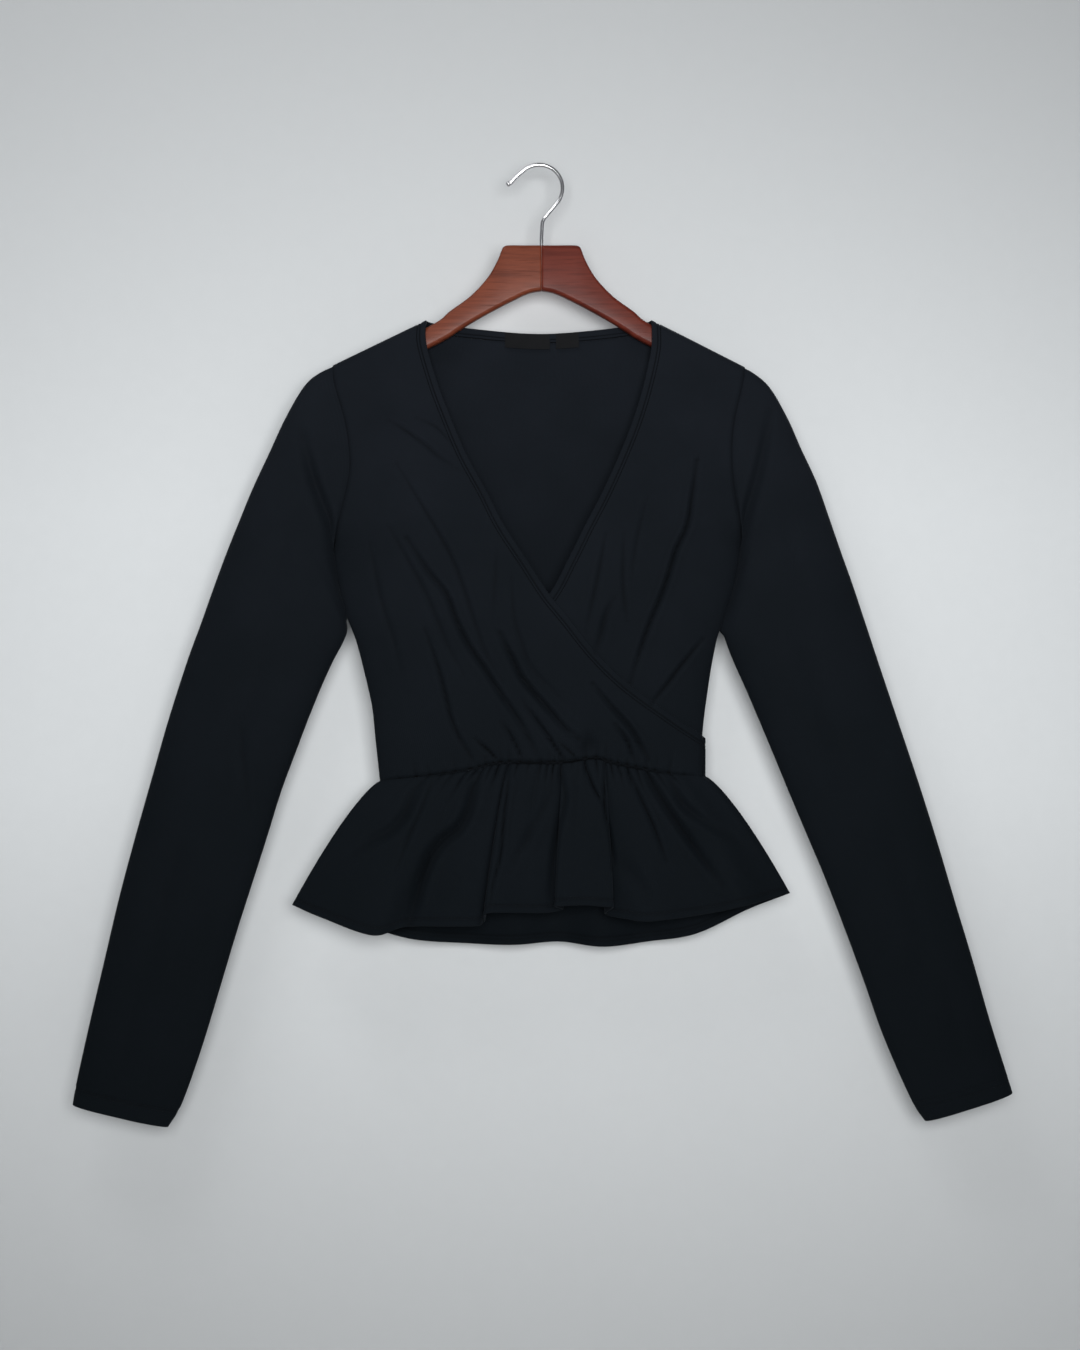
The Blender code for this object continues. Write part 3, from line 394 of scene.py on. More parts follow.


# %% [markdown]
# ## Folds
# Cloth that hangs from one point and is gathered at another falls into long narrow troughs with a soft ridge
# beside them. A table row is one such fold: its depth, half its width, which side its ridge stands on, and
# its route. It dies out at its ends. Placing folds one by one keeps them where they hang on the real top,
# which a simulation would not. The front's routes are in pixels of a picture 1080 wide, where they are
# easiest to place, and a helper turns them into millimetres.

# %% Fold tables of the front: depth, half width, ridge side, route in picture pixels
MM_PER_PIXEL = 0.87
HOOK_PIXEL = (536.5, 167.0)
FRONT_FOLDS = (
    (4, 2.6, 0.6, ((408, 540), (428, 571), (447, 595), (457, 621), (470, 647), (486, 670), (501, 694),
        (519, 720), (532, 743), (541, 764))),
    (1.6, 2.6, 0.5, ((391, 530), (413, 569), (428, 597), (439, 623), (449, 647), (464, 674))),
    (1.5, 2.2, 0.5, ((398, 466), (426, 512), (444, 543), (457, 569), (467, 597), (478, 631), (488, 657),
        (503, 680))),
    (5, 2.7, 0.6, ((500, 634), (514, 662), (522, 678), (535, 694), (551, 712), (564, 727), (578, 738))),
    (2.6, 2.2, 0.5, ((426, 630), (439, 668), (447, 699), (454, 725), (465, 746), (477, 764))),
    (2.4, 1.9, 0.5, ((502, 722), (514, 740), (523, 760))),
    (3.2, 2, 0.5, ((532, 712), (548, 735), (566, 763))),
    (1.3, 2, 0.4, ((522, 700), (530, 712), (538, 722))),
    (3.2, 2.2, 0.5, ((592, 684), (613, 709), (629, 727), (639, 743), (650, 764))),
    (2.6, 1.9, 0.5, ((614, 724), (626, 740), (634, 763))),
    (1.2, 2.3, 0.4, ((512, 579), (514, 616), (522, 644), (532, 668), (556, 694), (574, 712))),
    (1.2, 2.9, 0.4, ((371, 545), (382, 600), (395, 642), (402, 672))),
    (2.4, 1.7, 0.4, ((476, 738), (487, 748), (501, 762))),
    (1.6, 1.6, 0.3, ((560, 742), (570, 751), (580, 762))),
    (1.6, 2.2, 0.4, ((391, 423), (410, 435), (427, 448), (440, 459), (457, 470))),
    (1, 1.9, 0.3, ((418, 420), (438, 430), (452, 446))),
    (0.9, 2.6, 0.3, ((497, 553), (494, 612))),
    (3.8, 2.4, -0.6, ((696, 462), (691, 496), (686, 527), (675, 551), (668, 574), (660, 597), (649, 623),
        (639, 652), (630, 682))),
    (2.4, 2.9, -0.5, ((613, 600), (605, 616), (600, 636), (595, 653))),
    (1.5, 2.2, -0.4, ((605, 536), (597, 579), (590, 610), (585, 632))),
    (1.2, 2.2, -0.4, ((623, 536), (622, 584), (626, 622))),
    (2.6, 2.3, -0.5, ((702, 640), (681, 665), (665, 686), (650, 704))),
    (1, 2.2, -0.3, ((646, 500), (636, 540), (630, 580))))
PUCKER = (588.0, 744.0, 5.2, 7.0)         # x and y in the picture, depth and reach in millimetres


def on_plane(pixels):
    """Picture pixels as x, z in the tables' millimetres."""
    x, y = np.asarray(pixels, float).T
    return np.column_stack((x - HOOK_PIXEL[0], HOOK_PIXEL[1] - y)) * MM_PER_PIXEL


def placed(folds):
    return [(*row[:3], on_plane(row[3])) for row in folds]


FRONT_FOLDS = placed(FRONT_FOLDS)

# %% Fold tables of the hidden sides and the sleeves: the same, with the route as x, z in millimetres
BACK_FOLDS = (
    (4.4, 4.8, 0.5, ((-128, -330), (-96, -398), (-78, -462), (-70, -520))),
    (4.4, 4.8, -0.5, ((130, -326), (102, -392), (84, -455), (76, -520))),
    (3, 4.6, 0.4, ((-30, -400), (-22, -462), (-24, -522))),
    (2.8, 4.4, -0.4, ((34, -388), (30, -450), (34, -522))),
    (2.6, 4.4, 0.4, ((-112, -220), (-86, -252), (-52, -290))),
    (2.4, 4.2, -0.4, ((118, -222), (92, -256), (60, -296))),
    (2, 3.8, 0.3, ((-116, -430), (-108, -480), (-104, -522))),
    (2.2, 3.8, -0.3, ((114, -424), (110, -476), (108, -522))),
    (1.8, 3.6, 0.3, ((2, -440), (4, -480), (2, -524))))
SLEEVE_FOLDS = (
    (8, 4.6, 0.5, ((-202, -236), (-193, -271), (-184, -295), (-177, -314), (-174, -340), (-167, -366),
        (-163, -382))),
    (8, 4.6, -0.5, ((203, -213), (192.5, -261), (181.4, -301), (176, -327), (174, -350), (168, -376),
        (162, -398))),
    (2, 9, 0.5, ((-226, -392), (-246, -460), (-270, -540))),
    (2, 9, -0.5, ((222, -388), (242, -450), (268, -540))),
    (1.6, 9, 0.4, ((-300, -560), (-322, -640), (-338, -720))),
    (1.6, 9, -0.4, ((300, -560), (322, -640), (342, -720))),
    (1.2, 7, -0.4, ((-212, -300), (-222, -345), (-240, -392))),
    (1.2, 7, 0.4, ((214, -296), (222, -340), (238, -388))),
    (1.8, 3.6, 0.3, ((-255, -478), (-254, -506), (-251, -535), (-247, -564))),
    (1.2, 8, 0.4, ((-340, -690), (-352, -748), (-362, -800))),
    (1.2, 8, -0.4, ((344, -680), (360, -740), (372, -790))))
SLEEVE_BACK_FOLDS = (
    (4, 5, 0.5, ((-206, -270), (-206, -320), (-216, -370))),
    (4, 5, -0.5, ((210, -266), (208, -316), (216, -366))),
    (1.8, 9, 0.5, ((-250, -430), (-276, -510), (-300, -590))),
    (1.8, 9, -0.5, ((246, -430), (272, -506), (296, -586))),
    (1.4, 8, -0.4, ((-318, -640), (-334, -700), (-346, -770))),
    (1.4, 8, 0.4, ((322, -640), (342, -706), (358, -770))))
FOLD_SAMPLES = 28
RIDGE_SHARE = 0.5
print(len(FRONT_FOLDS), "front folds,", len(BACK_FOLDS), "back folds,",
      len(SLEEVE_FOLDS + SLEEVE_BACK_FOLDS), "sleeve folds")

# %% [markdown]
# For each point of the cloth, the nearest point of a route tells how far across and how far along the fold it
# lies. A ripple of a few long waves keeps the quiet parts of the cloth from being perfectly smooth.

# %% Folds and ripples as heights
def near_route(x, z, route):
    """Distance across a route, with a sign for its side, and the share of the route's length."""
    line = along(fine_curve(route, 8), np.linspace(0.0, 1.0, FOLD_SAMPLES + 1))
    best = np.full(x.shape, np.inf)
    across, place = np.zeros_like(x), np.zeros_like(x)
    for k in range(FOLD_SAMPLES):
        step_x, step_z = line[k + 1] - line[k]
        length = step_x ** 2 + step_z ** 2
        t = np.clip(((x - line[k, 0]) * step_x + (z - line[k, 1]) * step_z) / length, 0.0, 1.0)
        gap_x, gap_z = x - line[k, 0] - t * step_x, z - line[k, 1] - t * step_z
        gap = np.hypot(gap_x, gap_z)
        closer = gap < best
        best = np.where(closer, gap, best)
        across = np.where(closer, np.copysign(gap, step_x * gap_z - step_z * gap_x), across)
        place = np.where(closer, (k + t) / FOLD_SAMPLES, place)
    return across, place


def fold_height(x, z, folds):
    total = np.zeros_like(x)
    for depth, reach, ridge, route in folds:
        across, place = near_route(x, z, route)
        fade = np.sin(np.pi * np.clip(place, 0.04, 0.96)) ** 0.6
        trough = np.exp(-(across / reach) ** 2)
        sided = across * np.sign(ridge)
        beside = np.exp(-((sided - 1.7 * reach) / (1.1 * reach)) ** 2) * abs(ridge)
        other = np.exp(-((sided + 1.9 * reach) / (1.2 * reach)) ** 2) * abs(ridge) * 0.4
        total += depth * fade * (RIDGE_SHARE * (beside + other) - trough)
    return total


RIPPLES = ((0.083, 0.041, 0.0), (-0.047, 0.092, 1.7), (0.129, -0.066, 3.1), (0.021, 0.151, 4.4),
    (-0.171, 0.033, 5.2))         # each wave's run in x, its run in z, and its phase


def ripple(x, z, seed, height):
    total = np.zeros_like(x)
    for k, (run_x, run_z, phase) in enumerate(RIPPLES):
        total += np.sin(run_x * x + run_z * z + phase + seed * (k + 1.3)) / (1.0 + 0.5 * k)
    return height * total / 2.6


print(len(RIPPLES), "waves make the ripple")

# %% [markdown]
# ## Sheets of cloth
# A sheet is a grid of points on its outer face and a second grid behind it at the cloth's thickness, joined
# round the rim. The UV map holds real metres across and along the cloth, so that the knit follows each piece
# as it was cut. Near a turned edge the sheet is twice as thick. Each point also keeps how hollow the cloth is
# there: a real crease is narrower and deeper than a grid can follow, so hardly any light gets to its bottom,
# and the material darkens it by this number.

# %% From a grid to a thin closed sheet
CLOTH = 0.8
TURNED = 1.7
DEEPEST = 1.15                    # the bend, in 1 / mm, of a crease that no light gets into
pieces = {}
print("cloth", CLOTH, "mm thick,", TURNED, "mm at turned edges")


def wrapped(grid):
    """A ring's grid with its first column once more at the end."""
    return np.concatenate((grid, grid[:, :1]), axis=1)


def both_ways(grid):
    """A ring's grid with one column more at each end."""
    return np.concatenate((grid[:, -1:], grid, grid[:, :1]), axis=1)


def square_to_rings(points):
    """Directions square to a tube of rings, away from its middle."""
    across = both_ways(points)[:, 2:] - both_ways(points)[:, :-2]
    square = unit(np.cross(across, np.gradient(points, axis=0)))
    square[(square * (points - points.mean(axis=1, keepdims=True))).sum(-1) < 0] *= -1
    return square


def bend(points, outward, axis):
    """How much the cloth bends inwards along one axis of its grid, in 1 / mm."""
    lines = np.moveaxis(points, axis, 0)
    before, here, after = lines[:-2], lines[1:-1], lines[2:]
    step = 0.5 * (np.linalg.norm(after - here, axis=-1) + np.linalg.norm(here - before, axis=-1))
    rise = ((before + after - 2.0 * here) * np.moveaxis(outward, axis, 0)[1:-1]).sum(-1)
    inside = np.moveaxis(rise / np.maximum(step, 0.2) ** 2, 0, axis)
    return np.pad(inside, [(1, 1) if k == axis else (0, 0) for k in range(2)], mode="edge")


def hollows(points, outward, ring):
    """0 on flat or rounded cloth, and 1 at the bottom of the sharpest creases."""
    if ring:
        points, outward = both_ways(points), both_ways(outward)
    total = sum(np.clip(bend(points, outward, axis), 0.0, None) for axis in (0, 1))
    total = total[:, 1:-1] if ring else total
    return np.clip(total / DEEPEST, 0.0, 1.0)


def sheet_faces(rows, columns, ring, across, down):
    """Faces of both layers and the rim, and the cloth place of each of their corners."""
    count = rows * columns
    index = np.arange(count).reshape(rows, columns)
    index = wrapped(index) if ring else index
    place = np.stack(np.meshgrid(across, down), axis=-1)
    low, high = slice(None, -1), slice(1, None)
    corners = (low, low), (low, high), (high, high), (high, low)
    front = np.stack([index[c] for c in corners], axis=-1).reshape(-1, 4)
    front_uv = np.stack([place[c] for c in corners], axis=-2).reshape(-1, 4, 2)
    faces, places = [front, front[:, ::-1] + count], [front_uv, front_uv[:, ::-1]]
    rims = [(index[0], place[0]), (index[-1], place[-1])]
    if not ring:
        rims += [(index[:, 0], place[:, 0]), (index[:, -1], place[:, -1])]
    for line, spot in rims:
        faces.append(np.stack((line[:-1], line[:-1] + count, line[1:] + count, line[1:]), axis=-1))
        places.append(np.stack((spot[:-1], spot[:-1], spot[1:], spot[1:]), axis=-2))
    return np.concatenate(faces), np.concatenate(places)


# %% Object and sheet
def finish_mesh(name, points, faces, material, places=None, sharp=50.0):
    """An object from points in millimetres, with its faces turned outwards."""
    mesh = bpy.data.meshes.new(name)
    mesh.from_pydata(to_metres(points).tolist(), [], faces)
    if places is not None:
        layer = mesh.uv_layers.new(name="cloth")
        layer.data.foreach_set("uv", np.asarray(places, np.float32).ravel())
    work = bmesh.new()
    work.from_mesh(mesh)
    bmesh.ops.recalc_face_normals(work, faces=work.faces)
    work.to_mesh(mesh)
    work.free()
    mesh.materials.append(material)
    mesh.shade_smooth()
    mesh.set_sharp_from_angle(angle=math.radians(sharp))
    pieces[name] = put(name, mesh)
    return mesh


def cloth_sheet(name, outer, outward, wall, material, ring=False):
    """A thin sheet from its outer face. wall is one thickness, or one for each point."""
    rows, columns = outer.shape[:2]
    inner = outer - outward * np.broadcast_to(wall, (rows, columns))[..., None]
    grid = wrapped(outer) if ring else outer
    across = lengths_along(grid[rows // 2]) * METRES_PER_MM
    down = lengths_along(outer[:, columns // 2]) * METRES_PER_MM
    faces, places = sheet_faces(rows, columns, ring, across, down)
    everything = np.concatenate((outer.reshape(-1, 3), inner.reshape(-1, 3)))
    mesh = finish_mesh(name, everything, faces.tolist(), material, places)
    hollow = mesh.attributes.new("hollow", "FLOAT", "POINT")
    hollow.data.foreach_set("value", np.tile(hollows(outer, outward, ring).ravel(), 2).astype(np.float32))
    sides = np.cross(grid[1:, 1:] - grid[:-1, :-1], grid[1:, :-1] - grid[:-1, 1:])
    area = 0.5 * np.linalg.norm(sides, axis=-1).sum() * METRES_PER_MM ** 2
    print(f"{name}: {across[-1]:.3f} x {down[-1]:.3f} m, {area:.4f} m2, {len(faces) * 2} triangles")


# %% [markdown]
# ## The cloth's finish
# The real cloth is a fine black crepe jersey: matt, a little blue where light slides over it, with ribs so
# close that they only show near by. Ribs and their small loops are sines of the place on the cloth, a cloudy
# noise keeps the black from being even, and a sheen lights the edges as the short fibres do. The black is
# painted deeper towards the cuffs and the hem and lighter at the chest: painted shade low down and painted
# light high up, from how the light falls on the hanging top.

# %% Black jersey
RIB_PITCH = 0.0011
LOOP_PITCH = 0.0013
jersey = Finish("black_jersey")
on_cloth, across_cloth, down_cloth = jersey.cloth_place()
rib = (across_cloth * (math.pi / RIB_PITCH)).sine().size()
loop = (down_cloth * (2 * math.pi / LOOP_PITCH) + rib * 2.2).sine() * 0.5 + 0.5
crepe = jersey.noise(on_cloth, 900.0, 3.0, 0.6)
cloudy = jersey.noise(jersey.place(), 14.0, 3.0, 0.55)
knit = rib * 0.55 + loop * 0.25 + crepe * 0.5
# The height factor is painted light on the chest and painted shade towards the cuffs and the hem.
height = (jersey.height() * 1.35 + 1.12).limited()
shade = ((cloudy * 0.5 + knit * 0.4) * (height * height * 0.75 + 0.25)).limited()
lit = jersey.mix(shade, (0.0010, 0.0024, 0.0033), (0.0126, 0.0148, 0.0205))
# The hollow number darkens the colour almost to black: painted shade at the bottom of the creases.
crease = jersey.node("ShaderNodeAttribute", {"attribute_name": "hollow"}, out="Fac")
black_jersey = jersey.done(
    Base_Color=jersey.mix((crease * 0.95).limited(), lit, (0.0004, 0.0005, 0.0006)),
    Roughness=0.78 + cloudy * 0.1, Normal=jersey.bump(knit, 0.00016, 0.55),
    Sheen_Weight=0.02, Sheen_Roughness=0.45, Sheen_Tint=(0.62, 0.72, 0.86, 1.0), Specular_IOR_Level=0.05)

# %% [markdown]
# ## The crossed fronts
# Each front runs from its shoulder and armhole, across the body, to the far side of the waist. Its grid of
# points is stretched between four curves: the shoulder, the waist seam, the outer edge and the neckline. The
# one that shows crosses over the other, so it lies a little further out towards the right.

# %% The grid of a front
LAYER_STEP = 2.6
LAYER_START_X, LAYER_RUN = -115.0, 150.0
OVER_END_X, OVER_END_RUN = 146.0, 7.0
HIDDEN_DROP, HIDDEN_START, HIDDEN_RUN = 2.0, 2.0, 25.0
RIDGE_BLEND = 40.0
SEAM_CALM = 9.0
FRONT_ROWS, FRONT_COLUMNS = 270, 165


def crossing(x):
    return LAYER_STEP * smoothstep((x - LAYER_START_X) / LAYER_RUN)


def over_offset(x, z):
    return crossing(x) * (0.4 + 0.6 * smoothstep((OVER_END_X - x) / OVER_END_RUN))


def under_offset(x, z):
    neckline = fine_curve(NECK_OVER)
    below = np.interp(x, neckline[:, 0], neckline[:, 1]) - z
    return crossing(x) - LAYER_STEP - HIDDEN_DROP * smoothstep((below - HIDDEN_START) / HIDDEN_RUN)


def inset_curve(curve, distance, towards):
    """A neckline moved into its panel by a distance, kept level with the shoulder line near its top."""
    end_x = curve[-1, 0]
    run_on = unit(curve[-1] - curve[-6])
    longer = np.vstack((curve, [curve[-1] + run_on * step for step in (4.0, 8.0, 12.0, 16.0)]))
    direction = unit(np.gradient(longer, axis=0))
    moved = longer + np.stack((direction[:, 1], -direction[:, 0]), axis=-1) * towards * distance
    shoulder = table_column(SHOULDER_LINE, 1, longer[:, 0])
    below = np.clip(shoulder - longer[:, 1], 0.0, RIDGE_BLEND)
    level = longer[:, 1] + table_column(SHOULDER_LINE, 1, moved[:, 0]) - shoulder
    moved[:, 1] += (level - moved[:, 1]) * (1.0 - below / RIDGE_BLEND)
    past = np.nonzero(towards * (moved[:, 0] - end_x) > 0)[0]
    if len(past):
        k = past[0]
        t = (end_x - moved[k - 1, 0]) / (moved[k, 0] - moved[k - 1, 0])
        moved = np.vstack((moved[:k], moved[k - 1] + t * (moved[k] - moved[k - 1])))
    return moved


def stretched_grid(top, bottom, left, right, u, rows_left, rows_right):
    """A Coons patch between four curves."""
    left_points, right_points = along(left, rows_left), along(right, rows_right)
    v = (0.5 * (rows_left + rows_right))[:, None, None]
    across = u[None, :, None]
    ruled = (1 - across) * left_points[:, None] + across * right_points[:, None]
    lofted = (1 - v) * along(top, u)[None] + v * along(bottom, u)[None]
    corners = ((1 - across) * ((1 - v) * left_points[0] + v * left_points[-1])
               + across * ((1 - v) * right_points[0] + v * right_points[-1]))
    return ruled + lofted - corners


def line_between(curve, x_from, x_to, count=60):
    x = np.linspace(x_from, x_to, count)
    return np.column_stack((x, table_column(fine_curve(curve), 1, x)))


def outer_edge(armhole, side_seam):
    return np.vstack((fine_curve(armhole), fine_curve(side_seam)[1:]))


print("a front's grid has", FRONT_ROWS + 1, "by", FRONT_COLUMNS + 1, "points")

# %% [markdown]
# At the armhole and at the waist the seam pulls the cloth in. The dip is a narrow fold along the seam that
# doesn't die out at its ends, and small puckers stand just above the gathered waist.

# %% Seams, gathers and puckers
SEAM_DIP, SEAM_REACH = 1.3, 2.2
WAIST_DIP, WAIST_REACH = 2.2, 2.0
SIDE_X, SIDE_RUN = 146.0, 12.0    # the gathers end at this x, and fade over this run
SEWN_DEPTH, SEWN_REACH = 0.55, 0.75
GATHERS_ABOVE, GATHERS_BELOW = 0.8, 1.5     # how deep the gathers are above and below the waist seam
# x at the waist, depth, length, half width
GATHERS = ((-119, 0.8, 9, 2.4), (-104, 1.4, 16, 2.2), (-92, 1, 12, 2), (-80, 0.8, 9, 2), (-70, 1.2, 14, 2.2),
    (-57, 1.6, 18, 2), (-49, 1.2, 10, 1.6), (-43, 1.7, 16, 1.6), (-37, 1.3, 12, 1.6), (-31, 1.8, 15, 1.6),
    (-23, 1.9, 18, 1.7), (-15, 1.3, 11, 1.6), (-6, 0.9, 9, 1.8), (4, 1, 10, 1.8), (10, 1.6, 14, 1.6),
    (15, 1.8, 13, 1.6), (21, 1.5, 15, 1.8), (31, 0.8, 8, 1.8), (42, 1.8, 16, 1.6), (51, 1.4, 13, 1.6),
    (59, 1.7, 18, 1.6), (63.5, 1.3, 13, 1.5), (70, 1.6, 12, 1.6), (78, 1.7, 16, 1.7), (86, 1.3, 14, 1.7),
    (94, 1.6, 15, 1.8), (102, 1.3, 16, 1.8), (114, 1.7, 18, 2), (127, 0.9, 10, 2.2))


def seam_dip(x, z, routes):
    total = np.zeros_like(x)
    for route in routes:
        across, _ = near_route(x, z, route)
        total -= SEAM_DIP * np.exp(-(across / SEAM_REACH) ** 2)
    return total


def gathers(x, away):
    """Small uneven troughs that start on the waist seam. away is the distance from it along the cloth."""
    total = np.zeros_like(x)
    for middle, depth, length, narrow in GATHERS:
        fade = np.exp(-(away / length) ** 2) * smoothstep(away / 1.2)
        lean = 0.02 * (middle - CENTRE_X) * away / length
        total -= depth * fade * np.exp(-((x - middle - lean) / narrow) ** 2)
    return total


def above_waist(x, z, waist):
    """The cloth just above the waist seam: it turns in to the seam, and the gathers ripple it."""
    gap = np.maximum(z - table_column(fine_curve(waist), 1, x), 0.0)
    return GATHERS_ABOVE * gathers(x, 1.5 * gap) - WAIST_DIP * np.exp(-(gap / WAIST_REACH) ** 2)


def pucker(x, z):
    spot = on_plane([PUCKER[:2]])[0]
    gap = np.hypot(x - spot[0], (z - spot[1]) * 0.8)
    return -PUCKER[2] * np.exp(-(gap / PUCKER[3]) ** 2)


def sewn_in(x, z, depth, pressed, waist):
    """A panel's relief with the dips of its seams."""
    pressed = pressed + above_waist(x, z, waist) * smoothstep((SIDE_X - np.abs(x)) / SIDE_RUN)
    return (pressed + seam_dip(x, z, (ARMHOLE_LEFT, ARMHOLE_RIGHT))) * smoothstep(depth / SEAM_CALM)


def front_relief(x, z, depth):
    """Heights of the folds, puckers and seams on a front, calm where it bends round the side."""
    pressed = fold_height(x, z, FRONT_FOLDS) + pucker(x, z) + ripple(x, z, 1.0, 0.35)
    return sewn_in(x, z, depth, pressed, WAIST_FRONT)


def dressed(x, z, side, offset, relief):
    """The body form with an offset and a relief on it."""
    points, outward, depth = body_form(x, z, side)
    points = points + outward * (offset + relief(x, z, depth))[..., None]
    points[..., 1] = side * np.maximum(side * points[..., 1], HALF_SEAM)
    return points, outward


print(len(GATHERS), "gathers stand on the waist seam")

# %% [markdown]
# Now the two fronts are made. The neckline of each is turned in and sewn down, which makes a band 8 mm wide
# that is twice as thick. It is a sheet of its own, flush with the front beside it, as its solid is.

# %% Both fronts and their turned edges
BAND_WIDTH, BAND_GAP = 8.0, 0.05
BAND_COLUMNS = 20
SHOW = 0.4                        # from the solid's middle to the cloth's outer face
NECK_ROWS = (5.2, 7.9)            # the two rows of stitches, from the edge
front_waists = {}                 # the lowest row of points of each front


def rolled(distance):
    """How far a turned edge is rounded off, at a distance from it."""
    radius = 0.5 * TURNED
    return radius - np.sqrt(np.maximum(radius ** 2 - np.maximum(radius - distance, 0.0) ** 2, 0.0))


def sewn(distance, rows):
    """How deep the rows of stitches pull the cloth in."""
    return sum(SEWN_DEPTH * np.exp(-((distance - row) / SEWN_REACH) ** 2) for row in rows)


def on_front(grid, offset, lift=SHOW):
    """A front's points and directions over a grid of x, z."""
    x, z = grid[..., 0], grid[..., 1]
    return dressed(x, z, -1, offset(x, z) + lift, front_relief)


def make_band(name, points, outward, distance):
    """A turned edge of twice the thickness, rounded off and sewn down."""
    roll = rolled(distance)
    points = points - outward * (roll + sewn(distance, NECK_ROWS))[..., None]
    cloth_sheet(name, points, outward, TURNED - 2 * roll, black_jersey)


def make_front(name, neck, armhole, near_side, far_side, offset):
    towards = 1.0 if far_side is SIDE_RIGHT else -1.0
    edge = outer_edge(armhole, near_side)
    neckline = inset_curve(fine_curve(neck), BAND_WIDTH + BAND_GAP, towards)
    waist = line_between(WAIST_FRONT, edge[-1, 0], neckline[-1, 0])
    inner = np.vstack((neckline, waist[-1]))
    lengths = lengths_along(inner)
    corner = lengths[-2] / lengths[-1]
    rows = crowded(FRONT_ROWS, 0.35)
    nearest = int(np.argmin(np.abs(rows - corner)))
    turned = rows.copy()
    turned[:nearest + 1] *= corner / rows[nearest]
    turned[nearest:] = corner + (rows[nearest:] - rows[nearest]) / (1 - rows[nearest]) * (1 - corner)
    top = line_between(SHOULDER_LINE, edge[0, 0], neckline[0, 0])
    grid = stretched_grid(top, waist, edge, inner, crowded(FRONT_COLUMNS, 0.6), rows, turned)
    points, outward = on_front(grid, offset)
    cloth_sheet(name + "_cloth", points, outward, CLOTH, black_jersey)
    front_waists[name] = points[-1]

    shares = turned[:nearest + 1] / corner
    steps = BAND_WIDTH * (1.0 - crowded(BAND_COLUMNS, 0.8)[::-1])
    strip = np.stack([along(inset_curve(fine_curve(neck), step, towards), shares) for step in steps], axis=1)
    make_band(name.replace("front", "band") + "_cloth", *on_front(strip, offset), steps[None, :])


make_front("front_over", NECK_OVER, ARMHOLE_LEFT, SIDE_LEFT, SIDE_RIGHT, over_offset)
make_front("front_under", NECK_UNDER, ARMHOLE_RIGHT, SIDE_RIGHT, SIDE_LEFT, under_offset)

# %% [markdown]
# ## The back
# The back is one panel with a shallow neck. It hangs flatter than the fronts and gets folds of its own, since
# the top is looked at from behind too.

# %% Back panel and its turned neck
BACK_ROWS, SHOULDER_COLUMNS, NECK_COLUMNS = 170, 26, 76
back_neck = fine_curve(NECK_BACK)


def back_neck_row(distance):
    spread = 1.0 + distance * 2.0 / (back_neck[-1, 0] - back_neck[0, 0])
    middle_x = 0.5 * (back_neck[0, 0] + back_neck[-1, 0])
    row = along(back_neck, crowded(NECK_COLUMNS, 0.5))
    x, z = middle_x + (row[:, 0] - middle_x) * spread, row[:, 1] - distance
    z[0], z[-1] = table_column(SHOULDER_LINE, 1, x[[0, -1]])
    return np.column_stack((x, z))


def back_relief(x, z, depth):
    pressed = fold_height(x, z, BACK_FOLDS) + ripple(x, z, 2.0, 0.4)
    return sewn_in(x, z, depth, pressed, WAIST_BACK)


def on_back(grid, lift=SHOW):
    return dressed(grid[..., 0], grid[..., 1], 1, lift, back_relief)


left_edge, right_edge = outer_edge(ARMHOLE_LEFT, SIDE_LEFT), outer_edge(ARMHOLE_RIGHT, SIDE_RIGHT)
neck_edge = back_neck_row(BAND_WIDTH + BAND_GAP)
share = np.linspace(0.0, 1.0, SHOULDER_COLUMNS + 1)[:, None]
back_top = np.vstack(((left_edge[0] + (neck_edge[0] - left_edge[0]) * share)[:-1], neck_edge,
                      (neck_edge[-1] + (right_edge[0] - neck_edge[-1]) * share)[1:]))
rows = crowded(BACK_ROWS, 0.35)
back_waist = line_between(WAIST_BACK, left_edge[-1, 0], right_edge[-1, 0])
columns = lengths_along(back_top) / lengths_along(back_top)[-1]
back_grid = stretched_grid(back_top, back_waist, left_edge, right_edge, columns, rows, rows)
back_points, back_outward = on_back(back_grid)
cloth_sheet("back_cloth", back_points, back_outward, CLOTH, black_jersey)

back_steps = BAND_WIDTH * crowded(BAND_COLUMNS, 0.8)
back_strip = np.stack([back_neck_row(step) for step in back_steps])
make_band("band_back_cloth", *on_back(back_strip), back_steps[:, None])

# %% [markdown]
# ## Sleeves
# A sleeve is a long tube, set into the armhole, that falls nearly flat. Each ring of points is one station of
# the table: its outer and inner point, and how far it stands out in front and behind. The first ring is the
# armhole itself, and its bend dies out over the next few.

# %% Sleeve tables: outer x, z, inner x, z, front, back
SLEEVE_LEFT = ((-177, -173, -176.6, -337, 14, 12), (-199, -188, -176.4, -348, 15, 12),
    (-217, -217, -173, -368, 16, 12.5), (-232, -249, -167.4, -387, 16.5, 12.5),
    (-246, -279, -164.4, -401, 17, 13), (-258, -308, -168, -413, 17, 13), (-270, -338, -177, -430, 16.5, 13),
    (-281, -368, -187, -452, 16, 12.5), (-292, -399, -198.8, -481, 15.5, 12),
    (-303, -429, -209, -508, 15, 12), (-319.7, -481, -222, -543, 14.5, 11.5),
    (-334.5, -533, -233.5, -580, 14, 11), (-349.3, -585.5, -244.8, -615.6, 13.5, 11),
    (-363.2, -638, -260, -663, 12.5, 10.5), (-375.4, -690, -275, -713, 11.5, 10),
    (-387.6, -742, -290.5, -764, 10.5, 9), (-399.2, -794, -308, -813.5, 9.5, 8.5),
    (-403.2, -816.1, -320.6, -835.2, 9.5, 8.5))
